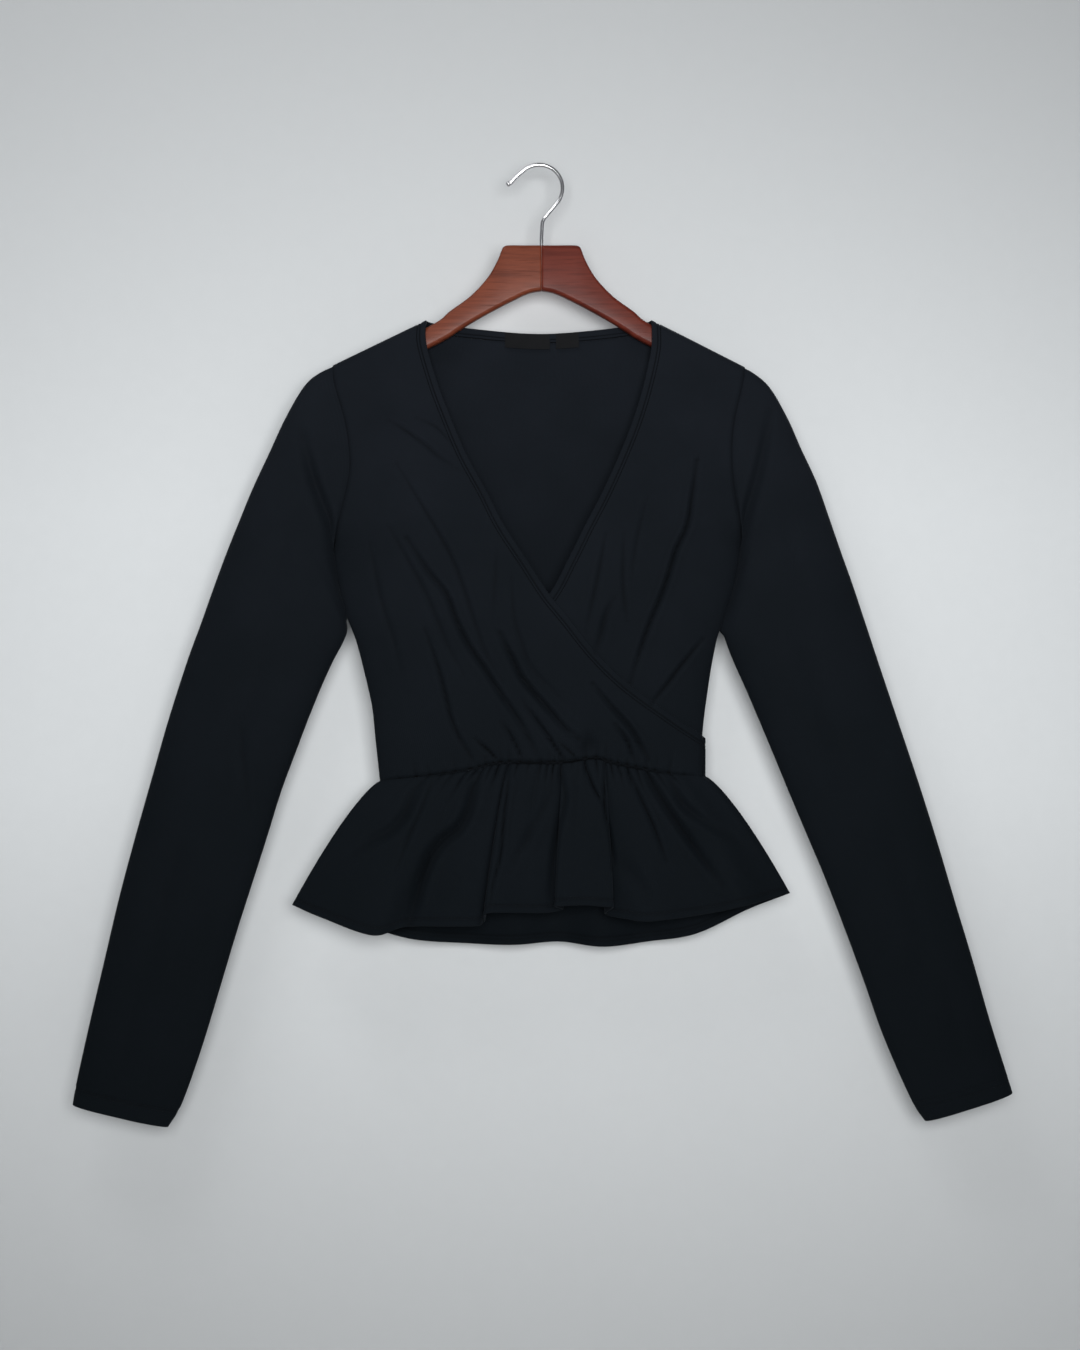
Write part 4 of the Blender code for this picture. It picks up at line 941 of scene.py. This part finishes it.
SLEEVE_RIGHT = ((181, -174.5, 177, -332, 14, 12), (201, -190.5, 176.6, -347, 15, 12),
    (217.5, -218, 173.4, -366, 16, 12.5), (230, -246, 167, -386, 16.5, 12.5), (243, -274, 162, -402, 17, 13),
    (254, -305, 165, -414, 17, 13), (264, -334, 171.6, -431, 16.5, 13), (274, -362, 181.5, -453, 16, 12.5),
    (284, -392, 193, -480, 15.5, 12), (296.2, -429, 206, -511, 15, 12), (313.6, -481, 220, -545, 14.5, 11.5),
    (331, -533, 236, -583, 14, 11), (347.6, -585.5, 249.5, -615, 13.5, 11),
    (363.2, -638, 267, -660, 12.5, 10.5), (378.9, -690, 285, -709, 11.5, 10),
    (393.7, -742, 302, -757, 10.5, 9), (408.5, -789, 325.8, -811, 9.5, 8.5),
    (413.7, -806, 338, -830, 9.5, 8.5))
SLEEVE_RINGS, HALF_RING = 200, 52
EDGE_RINGS = 6                    # the last rings lie close together and round off the edge
SLEEVE_GAP, UNDERARM_GAP = 0.1, 0.4
SEAM_UNDER, SEAM_INTO = 1.3, 2.2  # the seam allowance runs this far under the body's cloth
BLEND_STATIONS = 3
HEM_DEPTH = 15.0
CUFF_ROWS = (12.4, 14.9)
STATION_STEPS = 20
TUCK = {"sleeve_left": (SIDE_LEFT, -343, -392), "sleeve_right": (SIDE_RIGHT, -338, -404)}   # from z, to z
TUCK_OVERLAP, TUCK_BACK = 1.6, 3.6
cuffs = {}                        # the points, directions and distances that the stitches need
print(len(SLEEVE_LEFT), "stations for each sleeve")


# %% One sleeve from its stations
def turned_wall(distance, hem):
    """The thickness at a distance from an edge that is turned in as deep as its hem."""
    return CLOTH + (TURNED - CLOTH) * smoothstep(hem + 0.5 - distance)


def tucked(name, sign, x, z, t):
    """The way in x and y that takes the inner edge behind the body's side, below the underarm."""
    side_seam, from_z, to_z = TUCK[name]
    seam = np.array(sorted((point[1], point[0]) for point in side_seam))
    share = smoothstep((from_z - z[-1]) / 12.0) * smoothstep((z[-1] - to_z) / 9.0 + 0.5)
    reach = np.interp(z[-1], seam[:, 0], seam[:, 1]) - sign * TUCK_OVERLAP - x[-1]
    near_edge = smoothstep((t - 0.55) / 0.45) * share
    return reach * near_edge, TUCK_BACK * near_edge


def make_sleeve(name, stations, armhole, seed):
    sign = math.copysign(1.0, stations[-1][0])
    t = crowded(HALF_RING)
    arm = along(fine_curve(armhole), t)
    front, _ = dressed(arm[:, 0], arm[:, 1], -1, 0.0, front_relief)
    behind, _ = dressed(arm[:, 0], arm[:, 1], 1, 0.0, back_relief)
    bend = arm - (arm[0] + (arm[-1] - arm[0]) * t[:, None])
    down_fold = smoothstep((np.concatenate((t, t[-2:0:-1])) - 0.5) * 4.0)
    last = len(stations) - 1
    dense = fine_curve(stations, STATION_STEPS)
    main = np.linspace(0.0, last - 0.07, SLEEVE_RINGS - EDGE_RINGS)
    places = np.concatenate((main, last - 0.04 + 0.04 * crowded(EDGE_RINGS)))
    bulge = np.sqrt(np.maximum(0.0, 1.0 - np.abs(2.0 * t - 1.0) ** SIDE_ROUNDING))
    rings = []
    for place in places:
        outer_x, outer_z, inner_x, inner_z, depth_front, depth_back = read(
            place, np.arange(len(dense)) / STATION_STEPS, dense)
        keep = max(0.0, 1.0 - place / BLEND_STATIONS) ** 2
        x = outer_x + (inner_x - outer_x) * t + keep * bend[:, 0]
        z = outer_z + (inner_z - outer_z) * t + keep * bend[:, 1]
        calm = smoothstep(2.0 * bulge - 0.5) * (1 - keep)
        relief_front = fold_height(x, z, SLEEVE_FOLDS) + ripple(x, z, seed, 0.5)
        relief_back = fold_height(x, z, SLEEVE_BACK_FOLDS) + ripple(x, z, seed + 3.0, 0.5)
        y_front = (1 - keep) * -depth_front * bulge + keep * front[:, 1] - relief_front * calm
        y_back = (1 - keep) * depth_back * bulge + keep * behind[:, 1] + relief_back * calm
        y_front[[0, -1]] = 0.0
        aside, behind_body = tucked(name, sign, x, z, t)
        x, y_front, y_back = x + aside, y_front + behind_body, y_back + behind_body
        ring_back = np.column_stack((x, y_back, z))
        rings.append(np.concatenate((np.column_stack((x, y_front, z)), ring_back[-2:0:-1])))
    points = np.array(rings)
    points[..., 0] += sign * (SLEEVE_GAP + (UNDERARM_GAP - SLEEVE_GAP) * down_fold)
    outward = square_to_rings(points)
    from_cuff = np.linalg.norm(points - points[-1:], axis=-1).min(axis=1)
    wall, roll = turned_wall(from_cuff, HEM_DEPTH), rolled(from_cuff)
    seam = np.linalg.norm(points - points[:1], axis=-1).min(axis=1)
    sink = roll + SEAM_DIP * 0.8 * np.exp(-(seam / SEAM_REACH) ** 2) + sewn(from_cuff, CUFF_ROWS)
    outer = points + outward * (SHOW - sink)[:, None, None]
    cuffs[name] = (outer, outward, from_cuff)
    allowance = outer[:1] - outward[:1] * SEAM_UNDER - (sign * SEAM_INTO, 0.0, 0.0)
    outer, outward = np.concatenate((allowance, outer)), np.concatenate((outward[:1], outward))
    thick = np.concatenate(((CLOTH,), wall - 2 * roll))[:, None]
    cloth_sheet(name + "_cloth", outer, outward, thick, black_jersey, ring=True)


make_sleeve("sleeve_left", SLEEVE_LEFT, ARMHOLE_LEFT, 0.4)
make_sleeve("sleeve_right", SLEEVE_RIGHT, ARMHOLE_RIGHT, 1.9)

# %% [markdown]
# ## The peplum
# The frill below the waist is a longer strip, gathered on to the seam, and its width falls into box pleats
# and soft valleys that open towards the hem. Each table row is a ridge or a valley: where it starts on the
# waist and where it reaches the hem. A row that steps back in x lies under its neighbour, so that a pleat has
# a sharp folded edge.

# %% Peplum tables: x at the waist, then x, y, z at the hem
PEPLUM_FRONT = ((-136, -212.7, 0, -642), (-105, -186, -13, -651.5), (-80, -141, -25, -665.5),
    (-54, -114, -15, -659.5), (-38, -76, -23, -658), (-27, -52, -21, -658), (-24, -46, -12, -656),
    (-20, -43, -25.5, -646.5), (3, -14, -21, -646.5), (18, 8, -17, -647), (21, 22, -11, -645),
    (24, 15.5, -27, -640.5), (30, 22, -29.5, -639.8), (43, 40, -30, -639), (54, 60, -29.5, -640.5),
    (58, 66, -27, -641.5), (61, 60, -12, -649), (66, 76, -17, -652), (86, 99, -23, -653.5),
    (103, 148, -15, -648), (117, 180, -20, -640.5), (129, 203, -8, -635.5), (147, 220.5, 0, -631.6))
PEPLUM_BACK = ((-136, -212.7, 0, -642), (-114, -190, 12, -651), (-90, -146, 25, -665),
    (-62, -108, 13, -673.5), (-36, -62, 26, -678.5), (-12, -20, 14, -678.5), (14, 20, 25, -677),
    (40, 58, 13, -680), (66, 98, 26, -677), (92, 140, 13, -668.5), (116, 186, 21, -648),
    (143, 220.5, 0, -631.6))
PEPLUM_FOLDS = placed((
    (6.5, 4.6, 0.5, ((421, 778), (412, 796), (404, 814), (390, 829), (372, 838), (350, 852), (326, 866))),
    (1.5, 2.2, 0.4, ((433, 778), (424, 804), (412, 831), (397, 868))),
    (6, 4.4, 0.5, ((476, 772), (469, 806), (459, 826), (444, 838), (432, 853), (424, 872), (417, 896),
        (410, 922))),
    (2, 2, 0.4, ((510, 764), (507, 794), (504, 819), (501, 853), (494, 880), (488, 908))),
    (2.6, 2.7, 0.3, ((557, 764), (565, 794), (558, 826), (553, 858), (550, 905))),
    (2.4, 1.8, 0.4, ((584, 762), (592, 784), (603, 804))),
    (2.2, 1.8, 0.3, ((604, 757), (604, 806), (609, 831), (614, 862))),
    (2.2, 2.1, 0.4, ((626, 768), (644, 806), (653, 826), (665, 858))),
    (5, 3.4, -0.5, ((644, 770), (668, 809), (688, 838), (705, 862), (720, 882))),
    (6, 4.2, -0.5, ((668, 770), (681, 801), (705, 821), (730, 834), (752, 851), (770, 868))),
    (1.6, 3.8, 0.4, ((552, 792), (533, 826), (510, 868))),
    (2.2, 6.8, 0.3, ((622, 862), (640, 884), (652, 905))),
    (1.4, 5.2, 0.3, ((722, 868), (742, 882), (750, 896)))))
PEPLUM_BACK_FOLDS = (
    (2.6, 3, 0.4, ((-96, -536), (-104, -570), (-118, -606))),
    (2.6, 3, -0.4, ((98, -536), (108, -572), (124, -610))),
    (1.8, 2.5, 0.4, ((-48, -534), (-50, -570), (-56, -600))),
    (1.8, 2.5, -0.4, ((52, -534), (56, -572), (64, -604))))
PEPLUM_COLUMNS, PEPLUM_ROWS = 300, 84
FLARE_POWER, FRILL_FOLDS = 0.77, 1.3
PEPLUM_HEM = 8.0
HEM_ROWS = (5.4, 7.9)
PEPLUM_TOP_DIP = 1.4
PEPLUM_DROP = 135.0               # along the cloth from the waist to the hem
hems = {}                         # the same for the hems
print(len(PEPLUM_FRONT), "ridges and valleys in front,", len(PEPLUM_BACK), "behind")


# %% One peplum from its rows
def make_peplum(name, table, side, seam, folds, seed):
    dense = fine_curve(table, STATION_STEPS)
    hem_length = lengths_along(dense[:, 1:3])
    u = np.linspace(0.0, 1.0, PEPLUM_COLUMNS + 1)
    waist_x, hem_x, hem_y, hem_z = read(u * hem_length[-1], hem_length, dense).T
    waist_x = np.maximum.accumulate(waist_x)
    seam = seam[np.argsort(seam[:, 0])]
    waist = read(waist_x, seam[:, 0], seam)
    quiet = smoothstep(5.0 * (0.5 - np.abs(u - 0.5)))
    v = np.concatenate((crowded(PEPLUM_ROWS - EDGE_RINGS, 0.3) * 0.992, 0.994 + 0.006 * crowded(EDGE_RINGS)))
    rows = []
    for share in v:
        spread = share ** FLARE_POWER
        down = np.full_like(waist_x, share * PEPLUM_DROP)
        top = PEPLUM_TOP_DIP * np.exp(-(down / WAIST_REACH) ** 2) * (1.0 - np.exp(-down / 0.4))
        x = waist[:, 0] + (hem_x - waist[:, 0]) * spread
        y = waist[:, 1] + (hem_y - waist[:, 1]) * spread
        z = waist[:, 2] - 0.1 + (hem_z - waist[:, 2]) * share
        pressed = FRILL_FOLDS * fold_height(x, z, folds) * smoothstep(down / 5.0)
        small = GATHERS_BELOW * gathers(waist_x, down) + pressed - top
        y += side * quiet * (small + ripple(x, z, seed, 0.45) * min(1.0, 3.0 * share))
        y = side * np.maximum(side * y, HALF_SEAM)
        rows.append(np.column_stack((x, y, z)))
    points = np.array(rows)
    outward = unit(np.cross(np.gradient(points, axis=1), np.gradient(points, axis=0)))
    outward *= math.copysign(1.0, (outward[..., 1] * side).mean())
    outward[:, 0] = outward[:, -1] = (0.0, side, 0.0)
    from_hem = np.linalg.norm(points - points[-1:], axis=-1).mean(axis=1)
    wall, roll = turned_wall(from_hem, PEPLUM_HEM), rolled(from_hem)
    outer = points + outward * (SHOW - roll - sewn(from_hem, HEM_ROWS))[:, None, None]
    hems[name] = (outer, outward, from_hem)
    cloth_sheet(name + "_cloth", outer, outward, (wall - 2 * roll)[:, None], black_jersey)


make_peplum("peplum_front", PEPLUM_FRONT, -1, front_waists["front_over"], PEPLUM_FOLDS, 0.7)
make_peplum("peplum_back", PEPLUM_BACK, 1, back_points[-1], PEPLUM_BACK_FOLDS, 2.3)

# %% [markdown]
# ## The hanger
# Two arms of stained and lacquered wood meet at the hook. Each is a flat bar with rounded edges that leaves
# the centre high and runs down to the shoulder, so it is lofted through stations along the arm.

# %% Wood and its grain
HANGER_X, HANGER_TOP = 4.4, -68.7
HANGER_THICKNESS, HANGER_EDGE, HALF_JOINT = 11.0, 3.5, 0.05
HANGER_ARM = ((0, HANGER_TOP, 0, -108), (15, HANGER_TOP, 9, -109.5), (29, HANGER_TOP, 17, -112.5),
    (33.2, -70.2, 22, -115), (35, -73.5, 25, -116.4), (38.7, -82.7, 31, -119.4), (47.4, -97.4, 42, -125.2),
    (62.2, -113.1, 56.5, -133.2), (79.6, -125.8, 72.5, -143), (93, -136.4, 86, -151.6),
    (137, -158.2, 129, -173.4), (171, -175.2, 164.5, -190.4), (177, -179, 172.5, -192.5),
    (180, -183.5, 178.2, -189.4))
ARM_SLOPE = 0.47                  # radians that an arm's grain runs below level


def wood_finish(name, turn, dark, light):
    wood = Finish(name)
    place = wood.place()
    grain = wood.noise(wood.stretched(place, (9.0, 60.0, 150.0), turn), 1.0, 6.0, 0.62)
    pores = wood.noise(wood.stretched(place, (45.0, 600.0, 1400.0), turn), 1.0)
    cloud = wood.noise(place, 22.0)
    stops = {"stops": ((0.34, dark), (0.52, light), (0.7, dark))}
    streaks = wood.node("ShaderNodeValToRGB", stops, {"Fac": grain})
    tinted = wood.mix(cloud * 0.6, streaks, tuple(0.6 * c for c in dark))
    fleck = ((pores - 0.6) * 6.0).limited()
    colour = wood.mix(fleck * 0.45, tinted, (0.02, 0.006, 0.004))
    return wood.done(
        Base_Color=colour, Roughness=0.42 + grain * 0.16 + fleck * 0.15, Specular_IOR_Level=0.12,
        Normal=wood.bump(grain * 0.5 - fleck * 0.6, 0.00025, 0.5),
        Coat_Weight=0.08 - fleck * 0.06, Coat_Roughness=0.22)


wood_left = wood_finish("hanger_wood_left", -ARM_SLOPE, (0.100, 0.021, 0.009), (0.185, 0.044, 0.020))
wood_right = wood_finish("hanger_wood_right", ARM_SLOPE, (0.074, 0.010, 0.005), (0.128, 0.021, 0.011))


# %% [markdown]
# The bar's cross-section is a rectangle with rounded corners. The loft keeps the same number of points at
# each station, so the faces between two stations are plain quads.

# %% Arms
def rounded_section(upper, lower, corner_steps=6):
    upper, lower = np.array((upper[0], 0.0, upper[1])), np.array((lower[0], 0.0, lower[1]))
    centre, reach = 0.5 * (upper + lower), 0.5 * (upper - lower)
    half = np.linalg.norm(reach)
    radius = min(HANGER_EDGE, 0.45 * half)
    points = []
    for side_y, side_a, start in ((1, 1, 0), (-1, 1, 90), (-1, -1, 180), (1, -1, 270)):
        for step in range(corner_steps + 1):
            angle = math.radians(start + 90.0 * step / corner_steps)
            y = side_y * (HANGER_THICKNESS / 2 - radius) + radius * math.cos(angle)
            points.append(centre + reach / half * (side_a * (half - radius) + radius * math.sin(angle))
                          + np.array((0.0, y, 0.0)))
    return points


def make_arm(name, sign, material):
    stations = fine_curve(HANGER_ARM, 6)
    rings = np.array([rounded_section(row[:2], row[2:]) for row in stations])
    rings[..., 0] = HANGER_X + sign * (rings[..., 0] + HALF_JOINT)
    count, ring = rings.shape[:2]
    index = wrapped(np.arange(count * ring).reshape(count, ring))
    faces = np.stack((index[:-1, :-1], index[:-1, 1:], index[1:, 1:], index[1:, :-1]), axis=-1).reshape(-1, 4)
    mesh = finish_mesh(name, rings.reshape(-1, 3), faces.tolist(), material, sharp=60.0)
    work = bmesh.new()
    work.from_mesh(mesh)
    work.verts.ensure_lookup_table()
    for first in (0, (count - 1) * ring):
        work.faces.new([work.verts[i] for i in range(first, first + ring)])
    bmesh.ops.recalc_face_normals(work, faces=work.faces)
    work.to_mesh(mesh)
    work.free()
    print(name, "from", count, "stations")


make_arm("hanger_left_wood", -1.0, wood_left)
make_arm("hanger_right_wood", 1.0, wood_right)

# %% [markdown]
# ## The hook
# One chromed wire, bent into a hook and screwed into the wood. A curve with a round bevel is the simplest way
# to make a bent wire: its centre line is the table. Its open end is a small ball.

# %% Chrome and the bent wire
WIRE_RADIUS, HOOK_RADIUS, BALL_RADIUS = 1.85, 20.3, 2.3
HOOK_TIP = ((-24.4, -14.7), (-21.8, -13.3), (-17.9, -9))
HOOK_ARC = (134.0, -36.0)
HOOK_STEM = ((14.2, -35.9), (9.6, -41.4), (6.4, -45.4), (5.1, -49.4), (4.7, -55), (HANGER_X, -62))
chrome = Finish("hook_chrome")
scuff = chrome.noise(chrome.stretched(chrome.place(), (400.0, 400.0, 90.0)), 1.0, 3.0)
chrome.done(Base_Color=chrome.mix(scuff, (0.50, 0.50, 0.515), (0.66, 0.66, 0.68)), Metallic=1.0,
            Roughness=0.12 + scuff * 0.14, Normal=chrome.bump(scuff, 0.00003, 0.4))


def make_hook():
    centre_z = WIRE_RADIUS - HOOK_RADIUS
    angles = np.radians(np.linspace(*HOOK_ARC, 17))
    arc = [(HOOK_TOP_X + HOOK_RADIUS * math.cos(a), centre_z + HOOK_RADIUS * math.sin(a)) for a in angles]
    route = fine_curve(list(HOOK_TIP) + arc + list(HOOK_STEM) + [(HANGER_X, HANGER_TOP + 0.1)])
    bent = along(route, np.linspace(0.0, 1.0, 150))
    curve = bpy.data.curves.new("hook_wire", "CURVE")
    curve.dimensions = "3D"
    curve.bevel_depth = WIRE_RADIUS * METRES_PER_MM
    curve.bevel_resolution = 6
    curve.use_fill_caps = True
    spline = curve.splines.new("POLY")
    spline.points.add(len(bent) - 1)
    for point, place in zip(spline.points, to_metres([(x, 0.0, z) for x, z in bent])):
        point.co = (*place, 1.0)
    curve.materials.append(chrome.material)
    pieces["hook_wire"] = put("hook_wire", curve)


def make_ball(name, centre, radius, material, rings=14, around=24):
    work = bmesh.new()
    bmesh.ops.create_uvsphere(work, u_segments=around, v_segments=rings, radius=radius)
    points = [vert.co + Vector(centre) for vert in work.verts]
    work.verts.index_update()
    faces = [[vert.index for vert in face.verts] for face in work.faces]
    work.free()
    finish_mesh(name, points, faces, material, sharp=180.0)


make_hook()
make_ball("hook_ball", (HOOK_TIP[0][0], 0.0, HOOK_TIP[0][1]), BALL_RADIUS, chrome.material)
print("hook of", round(2 * WIRE_RADIUS, 1), "mm wire")

# %% [markdown]
# ## Labels
# Two small satin labels are sewn inside the back neck. They are left bare. Satin is smooth, with fine threads
# that run across it.

# %% Satin labels
LABELS = (("label_main", -8.0, 39.0, 13.0), ("label_size", 27.0, 20.0, 13.0))
LABEL_STAND_OFF, LABEL_TOP, LABEL_WALL = 1.65, 0.6, 0.5
LABEL_ROWS, LABEL_COLUMNS = 17, 41
THREAD_PITCH = 0.0005
satin = Finish("label_satin")
down_satin = satin.cloth_place()[2]
threads = (down_satin * (2 * math.pi / THREAD_PITCH)).sine() * 0.5 + 0.5
shade = threads * 0.5 + satin.noise(satin.place(), 120.0) * 0.5
satin.done(Base_Color=satin.mix(shade, (0.0015, 0.0016, 0.002), (0.0045, 0.005, 0.006)),
           Roughness=0.5 + threads * 0.14, Normal=satin.bump(threads, 0.00006, 0.5), Specular_IOR_Level=0.06)


def make_label(name, centre_x, width, height):
    x = centre_x + width * np.linspace(-0.5, 0.5, LABEL_COLUMNS)
    top = np.interp(x, back_neck[:, 0], back_neck[:, 1]) - LABEL_TOP
    share = np.linspace(0.0, 1.0, LABEL_ROWS)[:, None]
    points, outward, _ = body_form(np.tile(x, (LABEL_ROWS, 1)), top - height * share, 1)
    curl = 0.5 * share ** 2 + 0.25 * np.sin(np.linspace(0.0, 5.0, LABEL_COLUMNS))[None, :] * share
    points = points - outward * (LABEL_STAND_OFF + curl)[..., None]
    cloth_sheet(name + "_satin", points, outward, LABEL_WALL, satin.material)


for row in LABELS:
    make_label(*row)

# %% [markdown]
# ## Sewing
# The neckline, the hem and the cuffs are sewn down with two rows of stitches. A stitch is a short thread that
# dips into the cloth at both ends: a small faceted grain, sunk a little in the surface. All the stitches of
# one edge are one mesh.

# %% Thread
thread = Finish("black_thread")
twist = thread.noise(thread.place(), 1800.0, 2.0)
thread.done(Base_Color=thread.mix(twist, (0.002, 0.0025, 0.003), (0.006, 0.007, 0.009)),
            Roughness=0.6 + twist * 0.15, Specular_IOR_Level=0.08)
STITCH_PITCH, STITCH_LENGTH, STITCH_RADIUS = 2.9, 2.3, 0.26
# One stitch, as shares of its length, its width and its height: two tips, and two rings of four points
STITCH_SHAPE = np.array((
    (-0.5, 0, -0.3), (-0.25, 0.8, 0.1), (-0.25, 0, 1), (-0.25, -0.8, 0.1), (0.25, 0.8, 0.1), (0.25, 0, 1),
    (0.25, -0.8, 0.1), (0.5, 0, -0.3), (-0.25, 0, -0.6), (0.25, 0, -0.6)))
STITCH_TIPS = np.array((
    (0, 1, 2), (0, 2, 3), (0, 3, 8), (0, 8, 1), (7, 5, 4), (7, 6, 5), (7, 9, 6), (7, 4, 9)))
STITCH_SIDES = np.array(((1, 4, 5, 2), (2, 5, 6, 3), (3, 6, 9, 8), (8, 9, 4, 1)))


def stitch_points(line, outward):
    """Ten points for each stitch along a line of points with their outward directions."""
    lengths = lengths_along(line)
    at = (np.arange(int(lengths[-1] / STITCH_PITCH)) + 0.5) * STITCH_PITCH
    centre, ahead = (read(at + step, lengths, line) for step in (0.0, 0.4))
    up = unit(read(at, lengths, outward))
    run = unit(ahead - centre)
    axes = np.stack((run * STITCH_LENGTH, np.cross(run, up) * STITCH_RADIUS, up * STITCH_RADIUS), axis=1)
    return centre[:, None] + np.einsum("pk,nkd->npd", STITCH_SHAPE, axes)


def stitch_object(name, lines):
    points = np.concatenate([stitch_points(*line) for line in lines])
    first = np.arange(len(points))[:, None, None] * len(STITCH_SHAPE)
    faces = (first + STITCH_TIPS).reshape(-1, 3).tolist() + (first + STITCH_SIDES).reshape(-1, 4).tolist()
    finish_mesh(name, points.reshape(-1, 3), faces, thread.material, sharp=180.0)
    print(name, len(points), "stitches")


# %% [markdown]
# The rows follow the edges at a fixed distance, so each line of stitches is read from the same form as the
# cloth it lies on.

# %% Rows of stitches
STITCH_SINK, STITCH_LIFT = 0.15, 0.1    # below the cloth's face at the neck, above it at hem and cuffs
SEWN_FROM, SEWN_TO, SEWN_POINTS = 0.012, 0.994, 420     # the stretch of a neckline that is sewn, in shares


def neck_lines(neck, towards, offset):
    for distance in NECK_ROWS:
        curve = inset_curve(fine_curve(neck), distance, towards)
        yield on_front(along(curve, np.linspace(SEWN_FROM, SEWN_TO, SEWN_POINTS)), offset, SHOW - STITCH_SINK)


def back_lines():
    for distance in NECK_ROWS:
        points, outward = on_back(back_neck_row(distance), SHOW - STITCH_SINK)
        yield points[2:-2], outward[2:-2]


def edge_lines(grid, rows, closed):
    outer, outward, distance = grid
    for wanted in rows:
        k = int(np.argmin(np.abs(distance - wanted)))
        line, up = outer[k] + outward[k] * STITCH_LIFT, outward[k]
        yield (np.vstack((line, line[:1])), np.vstack((up, up[:1]))) if closed else (line, up)


stitch_object("stitches_over", neck_lines(NECK_OVER, 1.0, over_offset))
stitch_object("stitches_under", neck_lines(NECK_UNDER, -1.0, under_offset))
for side in ("front", "back"):
    stitch_object("stitches_hem_" + side, edge_lines(hems["peplum_" + side], HEM_ROWS, False))
for side in ("left", "right"):
    stitch_object("stitches_cuff_" + side, edge_lines(cuffs["sleeve_" + side], CUFF_ROWS, True))
stitch_object("stitches_back", back_lines())

# %% [markdown]
# ## What stands for what
# Every piece rides on the one body and hides the plain solid that it stands for.

# %% Ride and replace
SLEEVE_NODES = {side: (f"sleeve_{side}_front", f"sleeve_{side}_back") for side in ("left", "right")}
HANGER_WOOD = ("hanger_left_wood", "hanger_right_wood")
FRONTS = ("front_over_cloth", "front_under_cloth")
# Piece, nodes, how it is held, width and length of the cut in metres, its area, and what it hangs from
SHEETS = (
    ("front_over_cloth", ("front_over",), "hung", (0.280, 0.405), 0.0612, HANGER_WOOD[:1]),
    ("front_under_cloth", ("front_under",), "hung", (0.280, 0.402), 0.0566, HANGER_WOOD[1:]),
    ("back_cloth", ("back",), "hung", (0.362, 0.402), 0.1270, HANGER_WOOD),
    ("band_over_cloth", ("band_over",), "stretched", (0.010, 0.470), 0.0041, ("front_over_cloth",)),
    ("band_under_cloth", ("band_under",), "stretched", (0.010, 0.456), 0.0040, ("front_under_cloth",)),
    ("band_back_cloth", ("band_back",), "stretched", (0.222, 0.010), 0.0020, ("back_cloth",)),
    ("sleeve_left_cloth", SLEEVE_NODES["left"], "hung", (0.300, 0.700), 0.1430, FRONTS + ("back_cloth",)),
    ("sleeve_right_cloth", SLEEVE_NODES["right"], "hung", (0.300, 0.700), 0.1360, FRONTS + ("back_cloth",)),
    ("peplum_front_cloth", ("peplum_front",), "gathered", (0.450, 0.150), 0.0550, FRONTS),
    ("peplum_back_cloth", ("peplum_back",), "gathered", (0.440, 0.150), 0.0550, ("back_cloth",)),
    ("label_main_satin", ("label_main",), "hung", (0.039, 0.013), None, ("back_cloth",)),
    ("label_size_satin", ("label_size",), "hung", (0.020, 0.013), None, ("back_cloth",)),
)
RIGID = {"hanger_left_wood": "hanger_left", "hanger_right_wood": "hanger_right", "hook_wire": "hanger_hook"}
SLOTS = {"label": "label", "hanger": "wood", "hook": "chrome"}
for name, piece in pieces.items():
    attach(piece, "root")
    SLOTS.get(name.split("_")[0], "cloth")
for name, node in RIGID.items():
    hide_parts(node)
for name, nodes, held, flat, area, rests_on in SHEETS:
    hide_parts(*nodes)
    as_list(rests_on)
print(len(pieces), "pieces,", len(SHEETS), "of them sheets of cloth")
